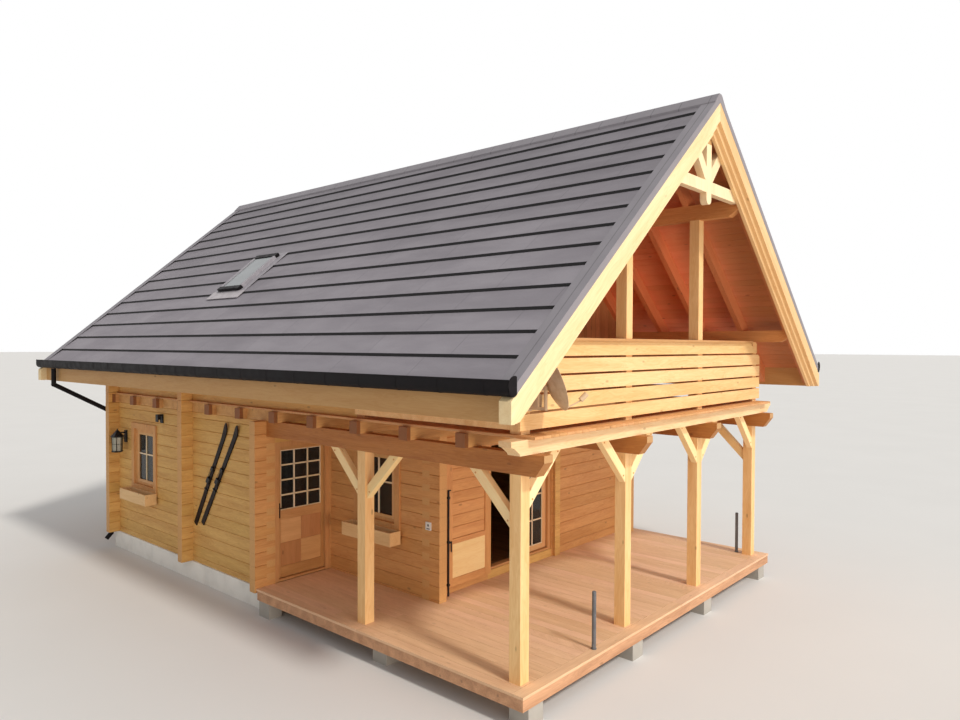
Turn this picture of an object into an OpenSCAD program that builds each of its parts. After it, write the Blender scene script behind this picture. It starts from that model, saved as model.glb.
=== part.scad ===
// Alpine chalet: log ground storey, boarded gables, recessed entrance, porch and balcony.
// Frame: origin on the ground under the ridge, half way along the roof, front gable to -Y.

/* [Plan] */
// Width of the house over its side walls
house_w = 6320; // [6000:20:6800]
// From the front face of the porch posts to the outer face of the back wall
house_l = 9750; // [9400:50:10400]
// Depth of the porch, from the front posts to the front wall
porch_d = 2450; // [2300:25:2600]
// Width of the recess beside the entrance door
recess_w = 1130; // [1080:10:1250]
// From the front posts to the entrance wall
recess_d = 4620; // [4400:20:4800]

/* [Log walls] */
// Thickness of the log walls
wall_t = 140; // [120:5:160]
// Number of log courses up to the floor joists
log_courses = 13; // [12:1:14]
// Length of the log ends beyond each cross corner
log_over = 190; // [120:10:220]
// Depth and height of the groove at each log joint
groove = 9; // [6:1:12]

/* [Heights] */
// Top of the plinth above the ground
plinth_h = 300; // [240:10:330]
// Top of the deck and of the ground floor
deck_h = 365; // [350:5:400]
// Clear height under the porch beams, from the deck
beam_clear = 2150; // [2120:10:2300]
// Height of the porch beams
beam_h = 225; // [200:5:240]
// Height of the joists and of the front beam
joist_h = 155; // [140:5:180]
// Thickness of the upper floor
floor_t = 30; // [24:2:40]

/* [Roof] */
// Top of the roof slopes where they would meet
ridge_h = 7000; // [6900:20:7200]
// Top of the roof at the eaves
eave_h = 3511; // [3450:10:3560]
// Horizontal reach of a slope from the ridge line
roof_half = 4110; // [4050:10:4250]
// Reach of the roof in front of the porch posts
verge_front = 695; // [660:5:760]
// Reach of the roof behind the back wall
verge_back = 928; // [800:8:1000]
// Number of courses of the roof covering
cover_courses = 15; // [12:1:18]
// Thickness of the roof covering at the lower edge of a course
cover_t = 40; // [32:1:46]
// Thickness of the roof covering at the upper edge of a course
cover_min = 14; // [10:1:20]
// Thickness of the roof boarding
board_t = 30; // [24:1:36]
// Depth of the rafters, square to the slope
rafter_h = 200; // [180:5:220]
// Width of the rafters
rafter_w = 80; // [60:5:100]

/* [Verge and eaves] */
// Thickness of each of the three verge boards
barge_t = 45; // [35:1:55]
// Depth of the front verge board below the roof top, square to the slope
barge_d = 250; // [230:5:280]
// Step from one verge board to the next
barge_step = 60; // [40:5:70]
// Radius of the gutters
gutter_r = 65; // [55:1:75]
// Thickness of the gutter sheet
gutter_t = 4; // [3:0.5:6]
// Radius of the downpipes
pipe_r = 40; // [35:1:45]

/* [Frame] */
// Side of the square posts
post = 145; // [120:5:160]
// Distance between the two middle posts, centre to centre
mid_gap = 2023; // [1800:20:2200]
// Front face to front face, from the corner post to the side post
side_post_y = 2435; // [2300:5:2500]
// Reach of the porch beams in front of the posts
beam_nose = 290; // [240:10:320]
// Depth of a brace, square to its length
brace_d = 120; // [100:5:130]
// Width of a brace
brace_w = 90; // [70:5:100]
// Reach of a brace along the beam and down the post
brace_run = 590; // [500:10:640]
// Width of the front beam
front_beam_w = 160; // [140:5:180]
// Height of the outer face of the eaves purlins
eaves_purlin_h = 63; // [50:1:90]
// Height of the outer face of the middle purlins
mid_purlin_h = 95; // [80:1:120]

/* [Railing] */
// Number of railing boards
rail_boards = 5; // [4:1:6]
// Height of a railing board
rail_board_h = 162; // [150:1:175]
// Gap between railing boards
rail_gap = 25; // [12:1:30]
// Thickness of a railing board
rail_board_t = 35; // [25:1:40]

/* [Deck] */
// Reach of the deck beyond the posts at the sides and front
deck_over = 175; // [150:5:200]
// Thickness of the deck boards
deck_t = 30; // [25:1:35]
// Height of the deck's edge board
deck_edge_h = 125; // [100:5:150]

/* [Doors and windows] */
// Height of the door openings above the deck
door_h = 2050; // [2000:10:2100]
// Distance of the patio opening from the west face of the house
patio_x = 2350; // [2300:10:2400]
// Width of the patio opening
patio_w = 1600; // [1540:10:1640]
// Width of the frame members of doors and windows
frame_w = 60; // [50:2:70]
// Thickness of the door leaves
leaf_t = 58; // [50:1:62]
// Running clearance round a door leaf
door_gap = 8; // [8:0.5:10]
// Sill of the windows above the deck
sill_h = 920; // [880:10:960]
// Height of the windows
window_h = 1020; // [980:10:1060]
// Width of the windows in the side walls
window_w = 850; // [780:10:900]
// Width of the boards round doors and windows
trim_w = 100; // [80:5:110]
// Thickness of the boards round doors and windows
trim_t = 25; // [20:1:30]

/* [Hidden] */

mid_x = house_w / 2;
roof_l = house_l + verge_front + verge_back;
roof_y0 = -verge_front;
roof_y1 = house_l + verge_back;
slope_tan = (ridge_h - eave_h) / roof_half;
pitch = atan(slope_tan);
beam_z = deck_h + beam_clear;
joist_z = beam_z + beam_h;
floor_z = joist_z + joist_h;
upper_z = floor_z + floor_t;
course_h = (joist_z - plinth_h) / log_courses;
board_d = cover_t + board_t;
rafter_d = board_d + rafter_h;
barge_back = roof_y0 + 3 * barge_t;
rafter_end = roof_half - 50;
door_z = deck_h + door_h;
sill_z = deck_h + sill_h;
entrance_side = 10;
entrance_x = wall_t;
entrance_w = recess_w - wall_t - entrance_side;
patio_sill_z = plinth_h + course_h;
bay = (house_l - wall_t - porch_d) / 8;
post_xs = [0, mid_x - mid_gap / 2 - post / 2, mid_x + mid_gap / 2 - post / 2, house_w - post];
tongue = 60;
seat = 0.3;

// Height of a slope at a distance from the ridge and a depth square to the slope
function slope_z(a, d) = ridge_h - a * slope_tan - d / cos(pitch);
function slope_pt(side, a, d) = [mid_x + side * a, slope_z(a, d)];
// Distance from the ridge at which a line of the slope reaches a height
function slope_a(z, d) = (ridge_h - d / cos(pitch) - z) / slope_tan;

knee_z = slope_z(mid_x, rafter_d) - eaves_purlin_h;
mid_purlin_z = slope_z(mid_gap / 2 + post / 2, rafter_d) - mid_purlin_h;
fascia_z = slope_z(rafter_end, rafter_d) - 41;

module site() { translate([-house_w / 2, verge_front - roof_l / 2, 0]) children(); }

module along_y(y0, y1) { translate([0, y1, 0]) rotate([90, 0, 0]) linear_extrude(y1 - y0) children(); }

module along_x(x0, x1) { translate([x0, 0, 0]) rotate([90, 0, 90]) linear_extrude(x1 - x0) children(); }

module block(x, y, z) { translate([x[0], y[0], z[0]]) cube([x[1] - x[0], y[1] - y[0], z[1] - z[0]]); }

module slope_band(side, d0, d1, a0, a1, y0, y1) {
    along_y(y0, y1) polygon([slope_pt(side, a0, d0), slope_pt(side, a1, d0),
        slope_pt(side, a1, d1), slope_pt(side, a0, d1)]);
}

// Joints of a log wall in courses: walls along Y start with half a log, so that corners interlock
function joints(half) = half ? concat([0], [for (k = [0:log_courses - 1]) k + 0.5], [log_courses])
    : [for (k = [0:log_courses]) k];

function log_face(js, z0, h, face, dir) = [for (k = [0:len(js) - 2]) each [
    [face + dir * groove, z0 + js[k] * h],
    [face, z0 + js[k] * h + groove],
    [face, z0 + js[k + 1] * h - groove],
    [face + dir * groove, z0 + js[k + 1] * h]]];

function flipped(list) = [for (k = [len(list) - 1:-1:0]) list[k]];

module log_section(half, z0 = plinth_h, h = course_h) {
    js = joints(half);
    polygon(concat(log_face(js, z0, h, 0, 1), flipped(log_face(js, z0, h, wall_t, -1))));
}

module logs_x(x0, x1, y) { translate([0, y, 0]) along_x(x0, x1) log_section(false); }

module logs_y(y0, y1, x) { translate([x, 0, 0]) along_y(y0, y1) log_section(true); }

// Housings cut from a wall along X where a wall along Y crosses it, and the reverse
module housings_x(x, y) {
    for (k = [0:log_courses]) {
        z0 = plinth_h + max(0, k - 0.25) * course_h - seat / 2;
        z1 = plinth_h + min(log_courses, k + 0.25) * course_h + seat / 2;
        block([x - seat / 2, x + wall_t + seat / 2], [y - 1, y + wall_t + 1], [z0, z1]);
    }
}

module housings_y(x, y) {
    for (k = [0:log_courses - 1]) {
        z0 = plinth_h + (k + 0.25) * course_h;
        z1 = plinth_h + (k + 0.75) * course_h;
        block([x - 1, x + wall_t + 1], [y, y + wall_t], [z0, z1]);
    }
}

east_x = house_w - wall_t;
back_y = house_l - wall_t;

module plinth() {
    color("gainsboro") site() difference() {
        block([-20, house_w + 20], [porch_d - 20, house_l + 20], [0, plinth_h]);
        block([-21, recess_w - 20], [porch_d - 21, recess_d - 20], [-1, plinth_h + 1]);
    }
}

module ground_floor() {
    color("tan") site() difference() {
        block([wall_t, east_x], [porch_d + wall_t, back_y], [plinth_h, deck_h]);
        block([wall_t - 1, recess_w + wall_t], [porch_d, recess_d + wall_t], [plinth_h - 1, deck_h + 1]);
    }
}

module side_walls() {
    color("burlywood") site() {
        difference() {
            logs_y(recess_d, house_l + log_over, 0);
            housings_y(0, recess_d);
            housings_y(0, back_y);
            windows("west") window_hole();
        }
        difference() {
            logs_y(porch_d - log_over, house_l + log_over, east_x);
            housings_y(east_x, porch_d);
            housings_y(east_x, back_y);
            windows("east") window_hole();
        }
    }
}

module back_wall() {
    color("burlywood") site() difference() {
        logs_x(-log_over, house_w + log_over, back_y);
        housings_x(0, back_y);
        housings_x(east_x, back_y);
        windows("back") window_hole();
    }
}

module window_wall() {
    color("burlywood") site() difference() {
        logs_y(porch_d - log_over, recess_d + wall_t, recess_w);
        housings_y(recess_w, porch_d);
        housings_y(recess_w, recess_d);
        windows("recess") window_hole();
    }
}

module entrance_logs() {
    difference() {
        logs_x(-log_over, recess_w + wall_t, recess_d);
        housings_x(0, recess_d);
        housings_x(recess_w, recess_d);
    }
}

module front_logs() {
    difference() {
        logs_x(recess_w, house_w + log_over, porch_d);
        housings_x(recess_w, porch_d);
        housings_x(east_x, porch_d);
    }
}

module entrance_bay(z0) {
    block([entrance_x, entrance_x + entrance_w], [recess_d - 1, recess_d + wall_t + 1], [z0, joist_z + 1]);
}

module patio_bay(z0, z1 = joist_z + 1) {
    block([patio_x, patio_x + patio_w], [porch_d - 1, porch_d + wall_t + 1], [z0, z1]);
}

module front_walls() {
    color("burlywood") site() {
        difference() {
            entrance_logs();
            entrance_bay(plinth_h - 1);
        }
        difference() {
            front_logs();
            patio_bay(plinth_h - 1);
        }
    }
}

// Logs over the two doorways, and the one that the patio door stands on
module door_heads_and_sill() {
    color("burlywood") site() {
        intersection() {
            entrance_logs();
            entrance_bay(door_z);
        }
        intersection() {
            front_logs();
            patio_bay(door_z);
        }
        intersection() {
            front_logs();
            patio_bay(plinth_h - 1, patio_sill_z);
        }
    }
}

// Ends of the inner cross walls, which show outside the side walls and the front wall
cross_gap = 2160;
cross_y = recess_d + cross_gap;
cross_x = patio_x + patio_w + 35;
cross_front_over = 50;

module cross_wall_ends() {
    color("burlywood") site() {
        logs_x(-log_over, 0, cross_y);
        logs_x(house_w, house_w + log_over, cross_y);
        difference() {
            logs_y(porch_d - cross_front_over, porch_d, cross_x);
            block([post_xs[2] - seat, post_xs[2] + post], [porch_d - cross_front_over - 1, porch_d + 1],
                [beam_z, joist_z + 1]);
        }
    }
}

joist_ys = [for (k = [-2:8]) porch_d + k * bay];

// Joists of the upper floor, with short blocks between them on the side walls
module floor_joists() {
    color("peru") site() {
        for (y = joist_ys) block([-120, house_w + 120], [y, y + wall_t], [joist_z, floor_z]);
        for (k = [2:9], x = [0, east_x]) {
            y0 = joist_ys[k] + wall_t + seat;
            if (x > 0 || y0 > recess_d - bay) {
                block([x, x + wall_t], [y0, joist_ys[k + 1] - seat], [joist_z, floor_z]);
            }
        }
    }
}

module upper_floor() {
    color("rosybrown") site() difference() {
        block([-60, house_w + 60], [-220, house_l], [floor_z, upper_z]);
        for (x = post_xs) block([x, x + post], [0, post], [floor_z - 1, upper_z + 1]);
    }
}

module knee_walls() {
    color("sienna") site() for (x = [0, east_x]) {
        block([x, x + wall_t], [porch_d + wall_t, back_y], [upper_z, knee_z - seat]);
    }
}

module gable_wall(y) {
    difference() {
        along_y(y, y + wall_t) polygon([[0, upper_z], [house_w, upper_z],
            slope_pt(1, mid_x, board_d + seat), slope_pt(1, 0, board_d + seat),
            slope_pt(-1, mid_x, board_d + seat)]);
        purlin_set(y - 1, y + wall_t + 1);
    }
}

balcony_door_w = 1000;
balcony_door_h = 2000;
balcony_door_x = mid_x - balcony_door_w / 2;

module gable_walls() {
    color("sienna") site() {
        difference() {
            gable_wall(porch_d);
            block([balcony_door_x, balcony_door_x + balcony_door_w], [porch_d - 1, porch_d + wall_t + 1],
                [upper_z - 1, upper_z + balcony_door_h]);
        }
        difference() {
            gable_wall(back_y);
            windows("gable") window_hole();
        }
    }
}

purlin_d = rafter_d + seat;

module eaves_purlin(side, y0, y1) {
    a1 = mid_x;
    a0 = mid_x - post;
    along_y(y0, y1) polygon([[mid_x + side * a1, knee_z], slope_pt(side, a1, purlin_d),
        slope_pt(side, a0, purlin_d), [mid_x + side * a0, knee_z]]);
}

module mid_purlin(side, y0, y1) {
    a0 = mid_gap / 2 - post / 2;
    a1 = a0 + post;
    along_y(y0, y1) polygon([[mid_x + side * a1, mid_purlin_z], slope_pt(side, a1, purlin_d),
        slope_pt(side, a0, purlin_d), [mid_x + side * a0, mid_purlin_z]]);
}

ridge_purlin_h = 240;

module ridge_purlin(y0, y1) {
    z0 = slope_z(0, purlin_d) - ridge_purlin_h;
    along_y(y0, y1) polygon([[mid_x - post / 2, z0], slope_pt(-1, post / 2, purlin_d),
        slope_pt(-1, 0, purlin_d), slope_pt(1, post / 2, purlin_d), [mid_x + post / 2, z0]]);
}

module purlin_set(y0, y1) {
    for (side = [-1, 1]) {
        eaves_purlin(side, y0, y1);
        mid_purlin(side, y0, y1);
    }
    ridge_purlin(y0, y1);
}

// Slanting cut under the front end of a purlin or beam
module nose_cut(x, y, z, rise, run, dir = 1) {
    along_x(x[0] - 1, x[1] + 1) polygon([[y - dir, z - 1], [y - dir, z + rise], [y, z + rise],
        [y + dir * run, z], [y + dir * run, z - 1]]);
}

module purlins() {
    y0 = barge_back + 5;
    y1 = roof_y1 - 3 * barge_t - 5;
    color("peru") site() difference() {
        purlin_set(y0, y1);
        for (y = [[y0, 1], [y1, -1]]) {
            for (x = [[0, post], [house_w - post, house_w]]) nose_cut(x, y[0], knee_z, 60, 130, y[1]);
            for (k = [1, 2]) nose_cut([post_xs[k], post_xs[k] + post], y[0], mid_purlin_z, 90, 130, y[1]);
        }
    }
}

front_rafters = 5;
inner_rafters = 10;
verge_rafter_y = barge_back + 5;
front_pitch = (porch_d - rafter_w - verge_rafter_y) / (front_rafters - 1);
inner_pitch = (back_y - rafter_w - porch_d - wall_t) / (inner_rafters - 1);
rafter_ys = concat([for (k = [0:front_rafters - 1]) verge_rafter_y + k * front_pitch],
    [for (k = [0:inner_rafters - 1]) porch_d + wall_t + k * inner_pitch],
    [house_l, roof_y1 - 3 * barge_t - 5 - rafter_w]);

module rafters() {
    color("peru") site() for (side = [-1, 1], y = rafter_ys) {
        slope_band(side, board_d + seat, rafter_d, 1, rafter_end, y, y + rafter_w);
    }
}

module roof_boarding() {
    color("sienna") site() for (side = [-1, 1]) {
        slope_band(side, cover_t + seat, board_d, 1, roof_half - 22, roof_y0 + 3, roof_y1 - 3);
    }
}

// One slope of the covering: each course lies over the one below it
function cover_line(side) = [for (k = [cover_courses:-1:1]) each [
    slope_pt(side, roof_half * k / cover_courses, 0),
    slope_pt(side, roof_half * (k - 1) / cover_courses + (k == 1 ? 1 : 0), cover_t - cover_min)]];

module roof_covering() {
    color("dimgray") site() for (side = [-1, 1]) {
        along_y(roof_y0 + 3, roof_y1 - 3) polygon(concat(
            [slope_pt(side, roof_half, cover_t)], cover_line(side), [slope_pt(side, 1, cover_t)]));
    }
}

ridge_cap_w = 150;
ridge_cap_t = 14;

// Depth of the covering's first course at a distance from the ridge
function cover_d(a) = (cover_t - cover_min) * (1 - a * cover_courses / roof_half);

module ridge_cap() {
    along_y(roof_y0 - 1, roof_y1 + 1) polygon([
        slope_pt(-1, ridge_cap_w, cover_d(ridge_cap_w) - seat), slope_pt(-1, ridge_cap_w, -ridge_cap_t),
        slope_pt(-1, 35, -33), slope_pt(1, 35, -33), slope_pt(1, ridge_cap_w, -ridge_cap_t),
        slope_pt(1, ridge_cap_w, cover_d(ridge_cap_w) - seat), slope_pt(1, 0, cover_d(0) - seat)]);
}

verge_trim_w = 190;
verge_trim_t = 3;
verge_drop = board_d + 2;

module verge_trim(side, y, dir) {
    y1 = y + dir * verge_trim_w;
    slope_band(side, -verge_trim_t, 0, ridge_cap_w + 1, roof_half, min(y, y1), max(y, y1));
    y2 = y - dir * verge_trim_t;
    slope_band(side, -verge_trim_t, verge_drop, ridge_cap_w + 1, roof_half, min(y, y2), max(y, y2));
}

module roof_trims() {
    color("dimgray") site() {
        ridge_cap();
        for (side = [-1, 1]) {
            verge_trim(side, roof_y0, 1);
            verge_trim(side, roof_y1, -1);
        }
    }
}

barge_end = roof_half + 75;
gutter_a = roof_half + gutter_r - 17;
gutter_z = slope_z(roof_half, cover_t) - 1;

// Half of one verge board of the three, mitred at the ridge and cut level at its foot
module barge_layer(side, d, y0, y1) {
    foot = min(slope_a(fascia_z, d), barge_end);
    top = board_d + seat;
    along_y(y0, y1) polygon([slope_pt(side, seat / 2, top), slope_pt(side, barge_end, top),
        [mid_x + side * barge_end, max(fascia_z, slope_z(barge_end, d))],
        [mid_x + side * foot, fascia_z], slope_pt(side, seat / 2, d)]);
}

module bargeboards(side, y, dir) {
    difference() {
        for (k = [0:2]) {
            y0 = y + dir * k * barge_t;
            y1 = y0 + dir * barge_t;
            barge_layer(side, barge_d + k * barge_step, min(y0, y1), max(y0, y1));
        }
        translate([mid_x + side * gutter_a, y - 200, gutter_z]) rotate([-90, 0, 0])
            cylinder(r = gutter_r + 6, h = 400, $fn = 48);
    }
}

module fascia(side) {
    a0 = rafter_end;
    a1 = rafter_end + 28;
    along_y(barge_back + seat, roof_y1 - 3 * barge_t - seat) polygon([[mid_x + side * a0, fascia_z],
        [mid_x + side * a1, fascia_z], slope_pt(side, a1, board_d + seat),
        slope_pt(side, a0, board_d + seat)]);
}

module verge_and_eaves_boards() {
    color("wheat") site() for (side = [-1, 1]) {
        bargeboards(side, roof_y0, 1);
        bargeboards(side, roof_y1, -1);
        fascia(side);
    }
}

bracket_pitch = 560;
bracket_w = 25;
bracket_t = 4;
bracket_count = floor((roof_l - bracket_pitch) / bracket_pitch);

// Gutter drawn along its own axis, with its straps round the outside
module gutter() {
    strap_r = gutter_r + bracket_t;
    difference() {
        union() {
            cylinder(r = gutter_r, h = roof_l, $fn = 48);
            for (k = [0:bracket_count]) {
                translate([0, 0, bracket_pitch / 2 + k * bracket_pitch])
                    cylinder(r = strap_r, h = bracket_w, $fn = 48);
            }
        }
        translate([0, 0, gutter_t]) cylinder(r = gutter_r - gutter_t, h = roof_l - 2 * gutter_t, $fn = 48);
        translate([-strap_r - 1, -strap_r - 1, -1]) cube([2 * strap_r + 2, strap_r + 1, roof_l + 2]);
    }
}

module gutters() {
    color("black") site() for (side = [-1, 1]) {
        translate([mid_x + side * gutter_a, roof_y0, gutter_z]) rotate([-90, 0, 0]) gutter();
    }
}

// Downpipe: drop from the gutter, slanting run to the corner, then down the wall to a shoe
pipe_back = 220;
pipe_off = 70;
pipe_fall = 600;
shoe_h = 100;
shoe_out = 80;
pipe_y = house_l + pipe_back;
clip_courses = [2, 6, 10];

module pipe_run(p, q) {
    v = q - p;
    l = norm(v);
    translate(p) rotate([0, acos(v[2] / l), atan2(v[1], v[0])]) cylinder(r = pipe_r, h = l, $fn = 32);
}

module pipe_knee(p) { translate(p) sphere(r = pipe_r + 4, $fn = 32); }

module downpipe(side) {
    x0 = mid_x + side * gutter_a;
    x1 = mid_x + side * (mid_x + pipe_off);
    y1 = house_l + pipe_off + 10;
    top = [x0, pipe_y, gutter_z - gutter_r - bracket_t - seat];
    bend = [x0, pipe_y, fascia_z - pipe_r - 20];
    corner = [x1, y1, fascia_z - pipe_fall];
    foot = [x1, y1, plinth_h - 60];
    shoe = [x1 + side * shoe_out, y1 + 20, plinth_h - 60 - shoe_h];
    pipe_run(bend, top);
    pipe_run(bend, corner);
    pipe_run(foot, corner);
    pipe_run(shoe, foot);
    for (p = [bend, corner, foot]) pipe_knee(p);
    for (k = clip_courses) {
        z = plinth_h + (k + 0.5) * course_h;
        block([x1 - 12, x1 + 12], [house_l + seat, y1], [z - 12, z + 12]);
        translate([x1, y1, z - 12]) cylinder(r = pipe_r + 5, h = 24, $fn = 32);
    }
}

module downpipes() {
    color("black") site() for (side = [-1, 1]) downpipe(side);
}

truss_t = 90;
truss_w = 150;
tie_z = slope_z(mid_gap / 2, rafter_d);

king_drop = 145;

module strut_shape() {
    z = tie_z + 30;
    a = 420;
    b = 320;
    polygon([[0, z], [a, slope_z(a, purlin_d)], [b, slope_z(b, purlin_d)], [0, z + 210]]);
}

module truss_shape() {
    king_top = slope_z(0, purlin_d) - ridge_purlin_h - seat;
    b = min(slope_a(tie_z, purlin_d), mid_gap / 2 - post / 2 - seat);
    t = slope_a(tie_z + truss_w, purlin_d);
    polygon([[-b, tie_z], [b, tie_z], [b, slope_z(b, purlin_d)], [t, tie_z + truss_w],
        [-t, tie_z + truss_w], [-b, slope_z(b, purlin_d)]]);
    tip = tie_z - king_drop + post / 2;
    translate([0, tip]) circle(r = post / 2, $fn = 48);
    translate([-post / 2, tip]) square([post, king_top - tip]);
    strut_shape();
    mirror([1, 0]) strut_shape();
}

module gable_truss() {
    color("wheat") site() for (y = [verge_rafter_y, roof_y1 - 3 * barge_t - 5 - truss_t]) {
        translate([mid_x, 0, 0]) along_y(y, y + truss_t) truss_shape();
    }
}

// Posts: each passes the porch beam as a tongue and is housed behind the front beam
module posts() {
    color("burlywood") site() {
        for (k = [0:3]) {
            top = (k == 0 || k == 3) ? knee_z : mid_purlin_z;
            difference() {
                block([post_xs[k], post_xs[k] + post], [0, post], [deck_h, top]);
                tongue_cheeks(post_xs[k]);
                block([post_xs[k] - 1, post_xs[k] + post + 1], [-1, front_beam_back], [joist_z, floor_z]);
            }
        }
        block([0, post], [side_post_y, side_post_y + post], [deck_h, beam_z]);
    }
}

front_beam_front = -130;
front_beam_back = front_beam_front + front_beam_w;

module tongue_cheeks(x) {
    for (s = [0, 1]) {
        x0 = s ? x + (post + tongue) / 2 : x - 1;
        x1 = s ? x + post + 1 : x + (post - tongue) / 2;
        block([x0, x1], [-1, post + 1], [beam_z, joist_z]);
    }
}

// Beams over the posts: each ends on the wall or log end behind it
beam_ends = [recess_d, porch_d, porch_d, porch_d - log_over];

module porch_beams() {
    color("burlywood") site() for (k = [0:3]) {
        x = post_xs[k];
        difference() {
            block([x, x + post], [-beam_nose, beam_ends[k]], [beam_z, joist_z]);
            block([x + (post - tongue) / 2, x + (post + tongue) / 2], [0, post], [beam_z - 1, joist_z + 1]);
            nose_cut([x, x + post], -beam_nose, beam_z, 150, 110);
        }
    }
}

module front_beam() {
    x0 = -320;
    x1 = house_w + 320;
    color("burlywood") site() along_y(front_beam_front, front_beam_back) polygon([
        [x0, floor_z], [x0, floor_z - 55], [x0 + 45, floor_z - 70], [x0 + 130, joist_z + 25],
        [x0 + 145, joist_z], [x1 - 145, joist_z], [x1 - 130, joist_z + 25], [x1 - 45, floor_z - 70],
        [x1, floor_z - 55], [x1, floor_z]]);
}

// Brace drawn in its own plane: foot on a post at the origin, running up and along u
module brace_shape(run) {
    c = brace_d * sqrt(2);
    polygon([[0, -run], [run, 0], [run - c, 0], [0, -run + c]]);
}

module brace_x(x, dir, z, y) {
    translate([x, y + brace_w, z]) mirror([dir < 0 ? 1 : 0, 0, 0]) rotate([90, 0, 0])
        linear_extrude(brace_w) brace_shape(brace_run);
}

module brace_y(y, dir, z, x) {
    translate([x, y, z]) mirror([0, dir < 0 ? 1 : 0, 0]) rotate([90, 0, 90])
        linear_extrude(brace_w) brace_shape(brace_run);
}

module braces() {
    inset = (post - brace_w) / 2;
    color("burlywood") site() {
        for (k = [0:2]) brace_x(post_xs[k] + post, 1, joist_z, 0);
        for (k = [1:3]) brace_x(post_xs[k], -1, joist_z, 0);
        for (k = [0, 3]) brace_y(post, 1, beam_z, post_xs[k] + inset);
        brace_y(side_post_y, -1, beam_z, inset);
        brace_y(side_post_y + post, 1, beam_z, inset);
    }
}

rail_lift = 45;
rail_z = upper_z + rail_lift;
rail_top = rail_z + rail_boards * (rail_board_h + rail_gap) - rail_gap;
side_rows = floor((knee_z - 30 - rail_z) / (rail_board_h + rail_gap));

module rail_row(x0, x1) {
    for (k = [0:rail_boards - 1]) {
        z = rail_z + k * (rail_board_h + rail_gap);
        block([x0, x1], [-rail_board_t, 0], [z, z + rail_board_h]);
    }
}

module railing() {
    color("wheat") site() {
        intersection() {
            rail_row(-60, house_w + 60);
            along_y(-rail_board_t - 1, 1) polygon([[-60, upper_z], [house_w + 60, upper_z],
                [house_w + 60, rail_top - 220], [house_w - 340, rail_top + 1], [340, rail_top + 1],
                [-60, rail_top - 220]]);
        }
        for (x = [0, house_w + rail_board_t], k = [0:side_rows]) {
            z = rail_z + k * (rail_board_h + rail_gap);
            block([x - rail_board_t, x], [seat, porch_d + wall_t], [z, min(z + rail_board_h, knee_z - 1)]);
        }
        difference() {
            block([345, house_w - 345], [-rail_board_t - 45, 20], [rail_top + seat, rail_top + 35]);
            for (x = post_xs) block([x, x + post], [0, post], [rail_top - 1, rail_top + 40]);
        }
    }
}

module deck_outline() {
    difference() {
        polygon([[-deck_over, -deck_over], [house_w + deck_over, -deck_over], [house_w + deck_over, porch_d],
            [recess_w, porch_d], [recess_w, recess_d], [-deck_over, recess_d]]);
        offset_box(recess_w, recess_w + wall_t, porch_d - log_over, porch_d);
        offset_box(east_x, house_w, porch_d - log_over, porch_d);
        offset_box(cross_x, cross_x + wall_t, porch_d - cross_front_over, porch_d);
    }
}

module offset_box(x0, x1, y0, y1) {
    c = 3;
    translate([x0 - c, y0 - c]) square([x1 - x0 + 2 * c, y1 - y0 + 2 * c]);
}

module deck_boards() {
    color("rosybrown") site() translate([0, 0, deck_h - deck_t]) linear_extrude(deck_t) deck_outline();
}

deck_joist_w = 60;

module deck_frame() {
    z0 = deck_h - deck_t - deck_edge_h;
    z1 = deck_h - deck_t;
    e = deck_over - 8;
    far = porch_d - 22;
    color("saddlebrown") site() {
        difference() {
            block([-e, house_w + e], [-e, far - log_over], [z0, z1]);
            for (k = [0:9]) {
                w = (house_w + 2 * e - deck_joist_w) / 10;
                block([-e + deck_joist_w + k * w, -e + (k + 1) * w],
                    [-e + deck_joist_w, far - log_over - deck_joist_w], [z0 - 1, z1 + 1]);
            }
        }
        for (x = [-e, recess_w - log_over - 100]) {
            block([x, x + deck_joist_w], [far - log_over, recess_d - 22], [z0, z1]);
        }
    }
}

module deck_piers() {
    z1 = deck_h - deck_t - deck_edge_h;
    color("gray") site() {
        for (x = post_xs, y = [-deck_over + 27, porch_d - log_over - 280]) {
            block([x - 50, x + post + 50], [y, y + 250], [0, z1]);
        }
        for (x = [-deck_over + 8, recess_w - log_over - 240]) {
            block([x, x + 200], [recess_d - 322, recess_d - 72], [0, z1]);
        }
    }
}

// Windows: each is [wall, left end of the opening seen from outside, sill, width, height]
WINDOWS = [["west", 8930, sill_z, 770, window_h], ["recess", 3930, sill_z, 800, window_h],
    ["east", 4100, sill_z, window_w, window_h], ["east", 7900, sill_z, window_w, window_h],
    ["back", 2200, sill_z, window_w, window_h], ["back", 5000, sill_z, window_w, window_h],
    ["gable", mid_x + 600, upper_z + 900, 1200, 1000]];

module on_wall(name, pos) {
    if (name == "west") translate([0, pos, 0]) rotate([0, 0, -90]) children();
    if (name == "recess") translate([recess_w, pos, 0]) rotate([0, 0, -90]) children();
    if (name == "east") translate([house_w, pos, 0]) rotate([0, 0, 90]) children();
    if (name == "back" || name == "gable") translate([pos, house_l, 0]) rotate([0, 0, 180]) children();
}

module windows(name) {
    for (w = WINDOWS) if (w[0] == name) on_wall(name, w[1]) {
        $w = w[3];
        $h = w[4];
        $z = w[2];
        children();
    }
}

module window_hole() { block([0, $w], [-1, wall_t + 1], [$z, $z + $h]); }

module border(w, h, z, b, y0, y1) {
    difference() {
        block([0, w], [y0, y1], [z, z + h]);
        block([b, w - b], [y0 - 1, y1 + 1], [z + b, z + h - b]);
    }
}

module all_windows() { for (n = ["west", "recess", "east", "back", "gable"]) windows(n) children(); }

module window_frame() { border($w, $h, $z, frame_w, 20, 90); }

module window_pane() { block([frame_w, $w - frame_w], [45, 65], [$z + frame_w, $z + $h - frame_w]); }

module window_trim() {
    difference() {
        block([-trim_w, $w + trim_w], [-trim_t, 0], [$z - trim_w, $z + $h + trim_w]);
        block([0, $w], [-trim_t - 1, 1], [$z, $z + $h]);
    }
}

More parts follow.
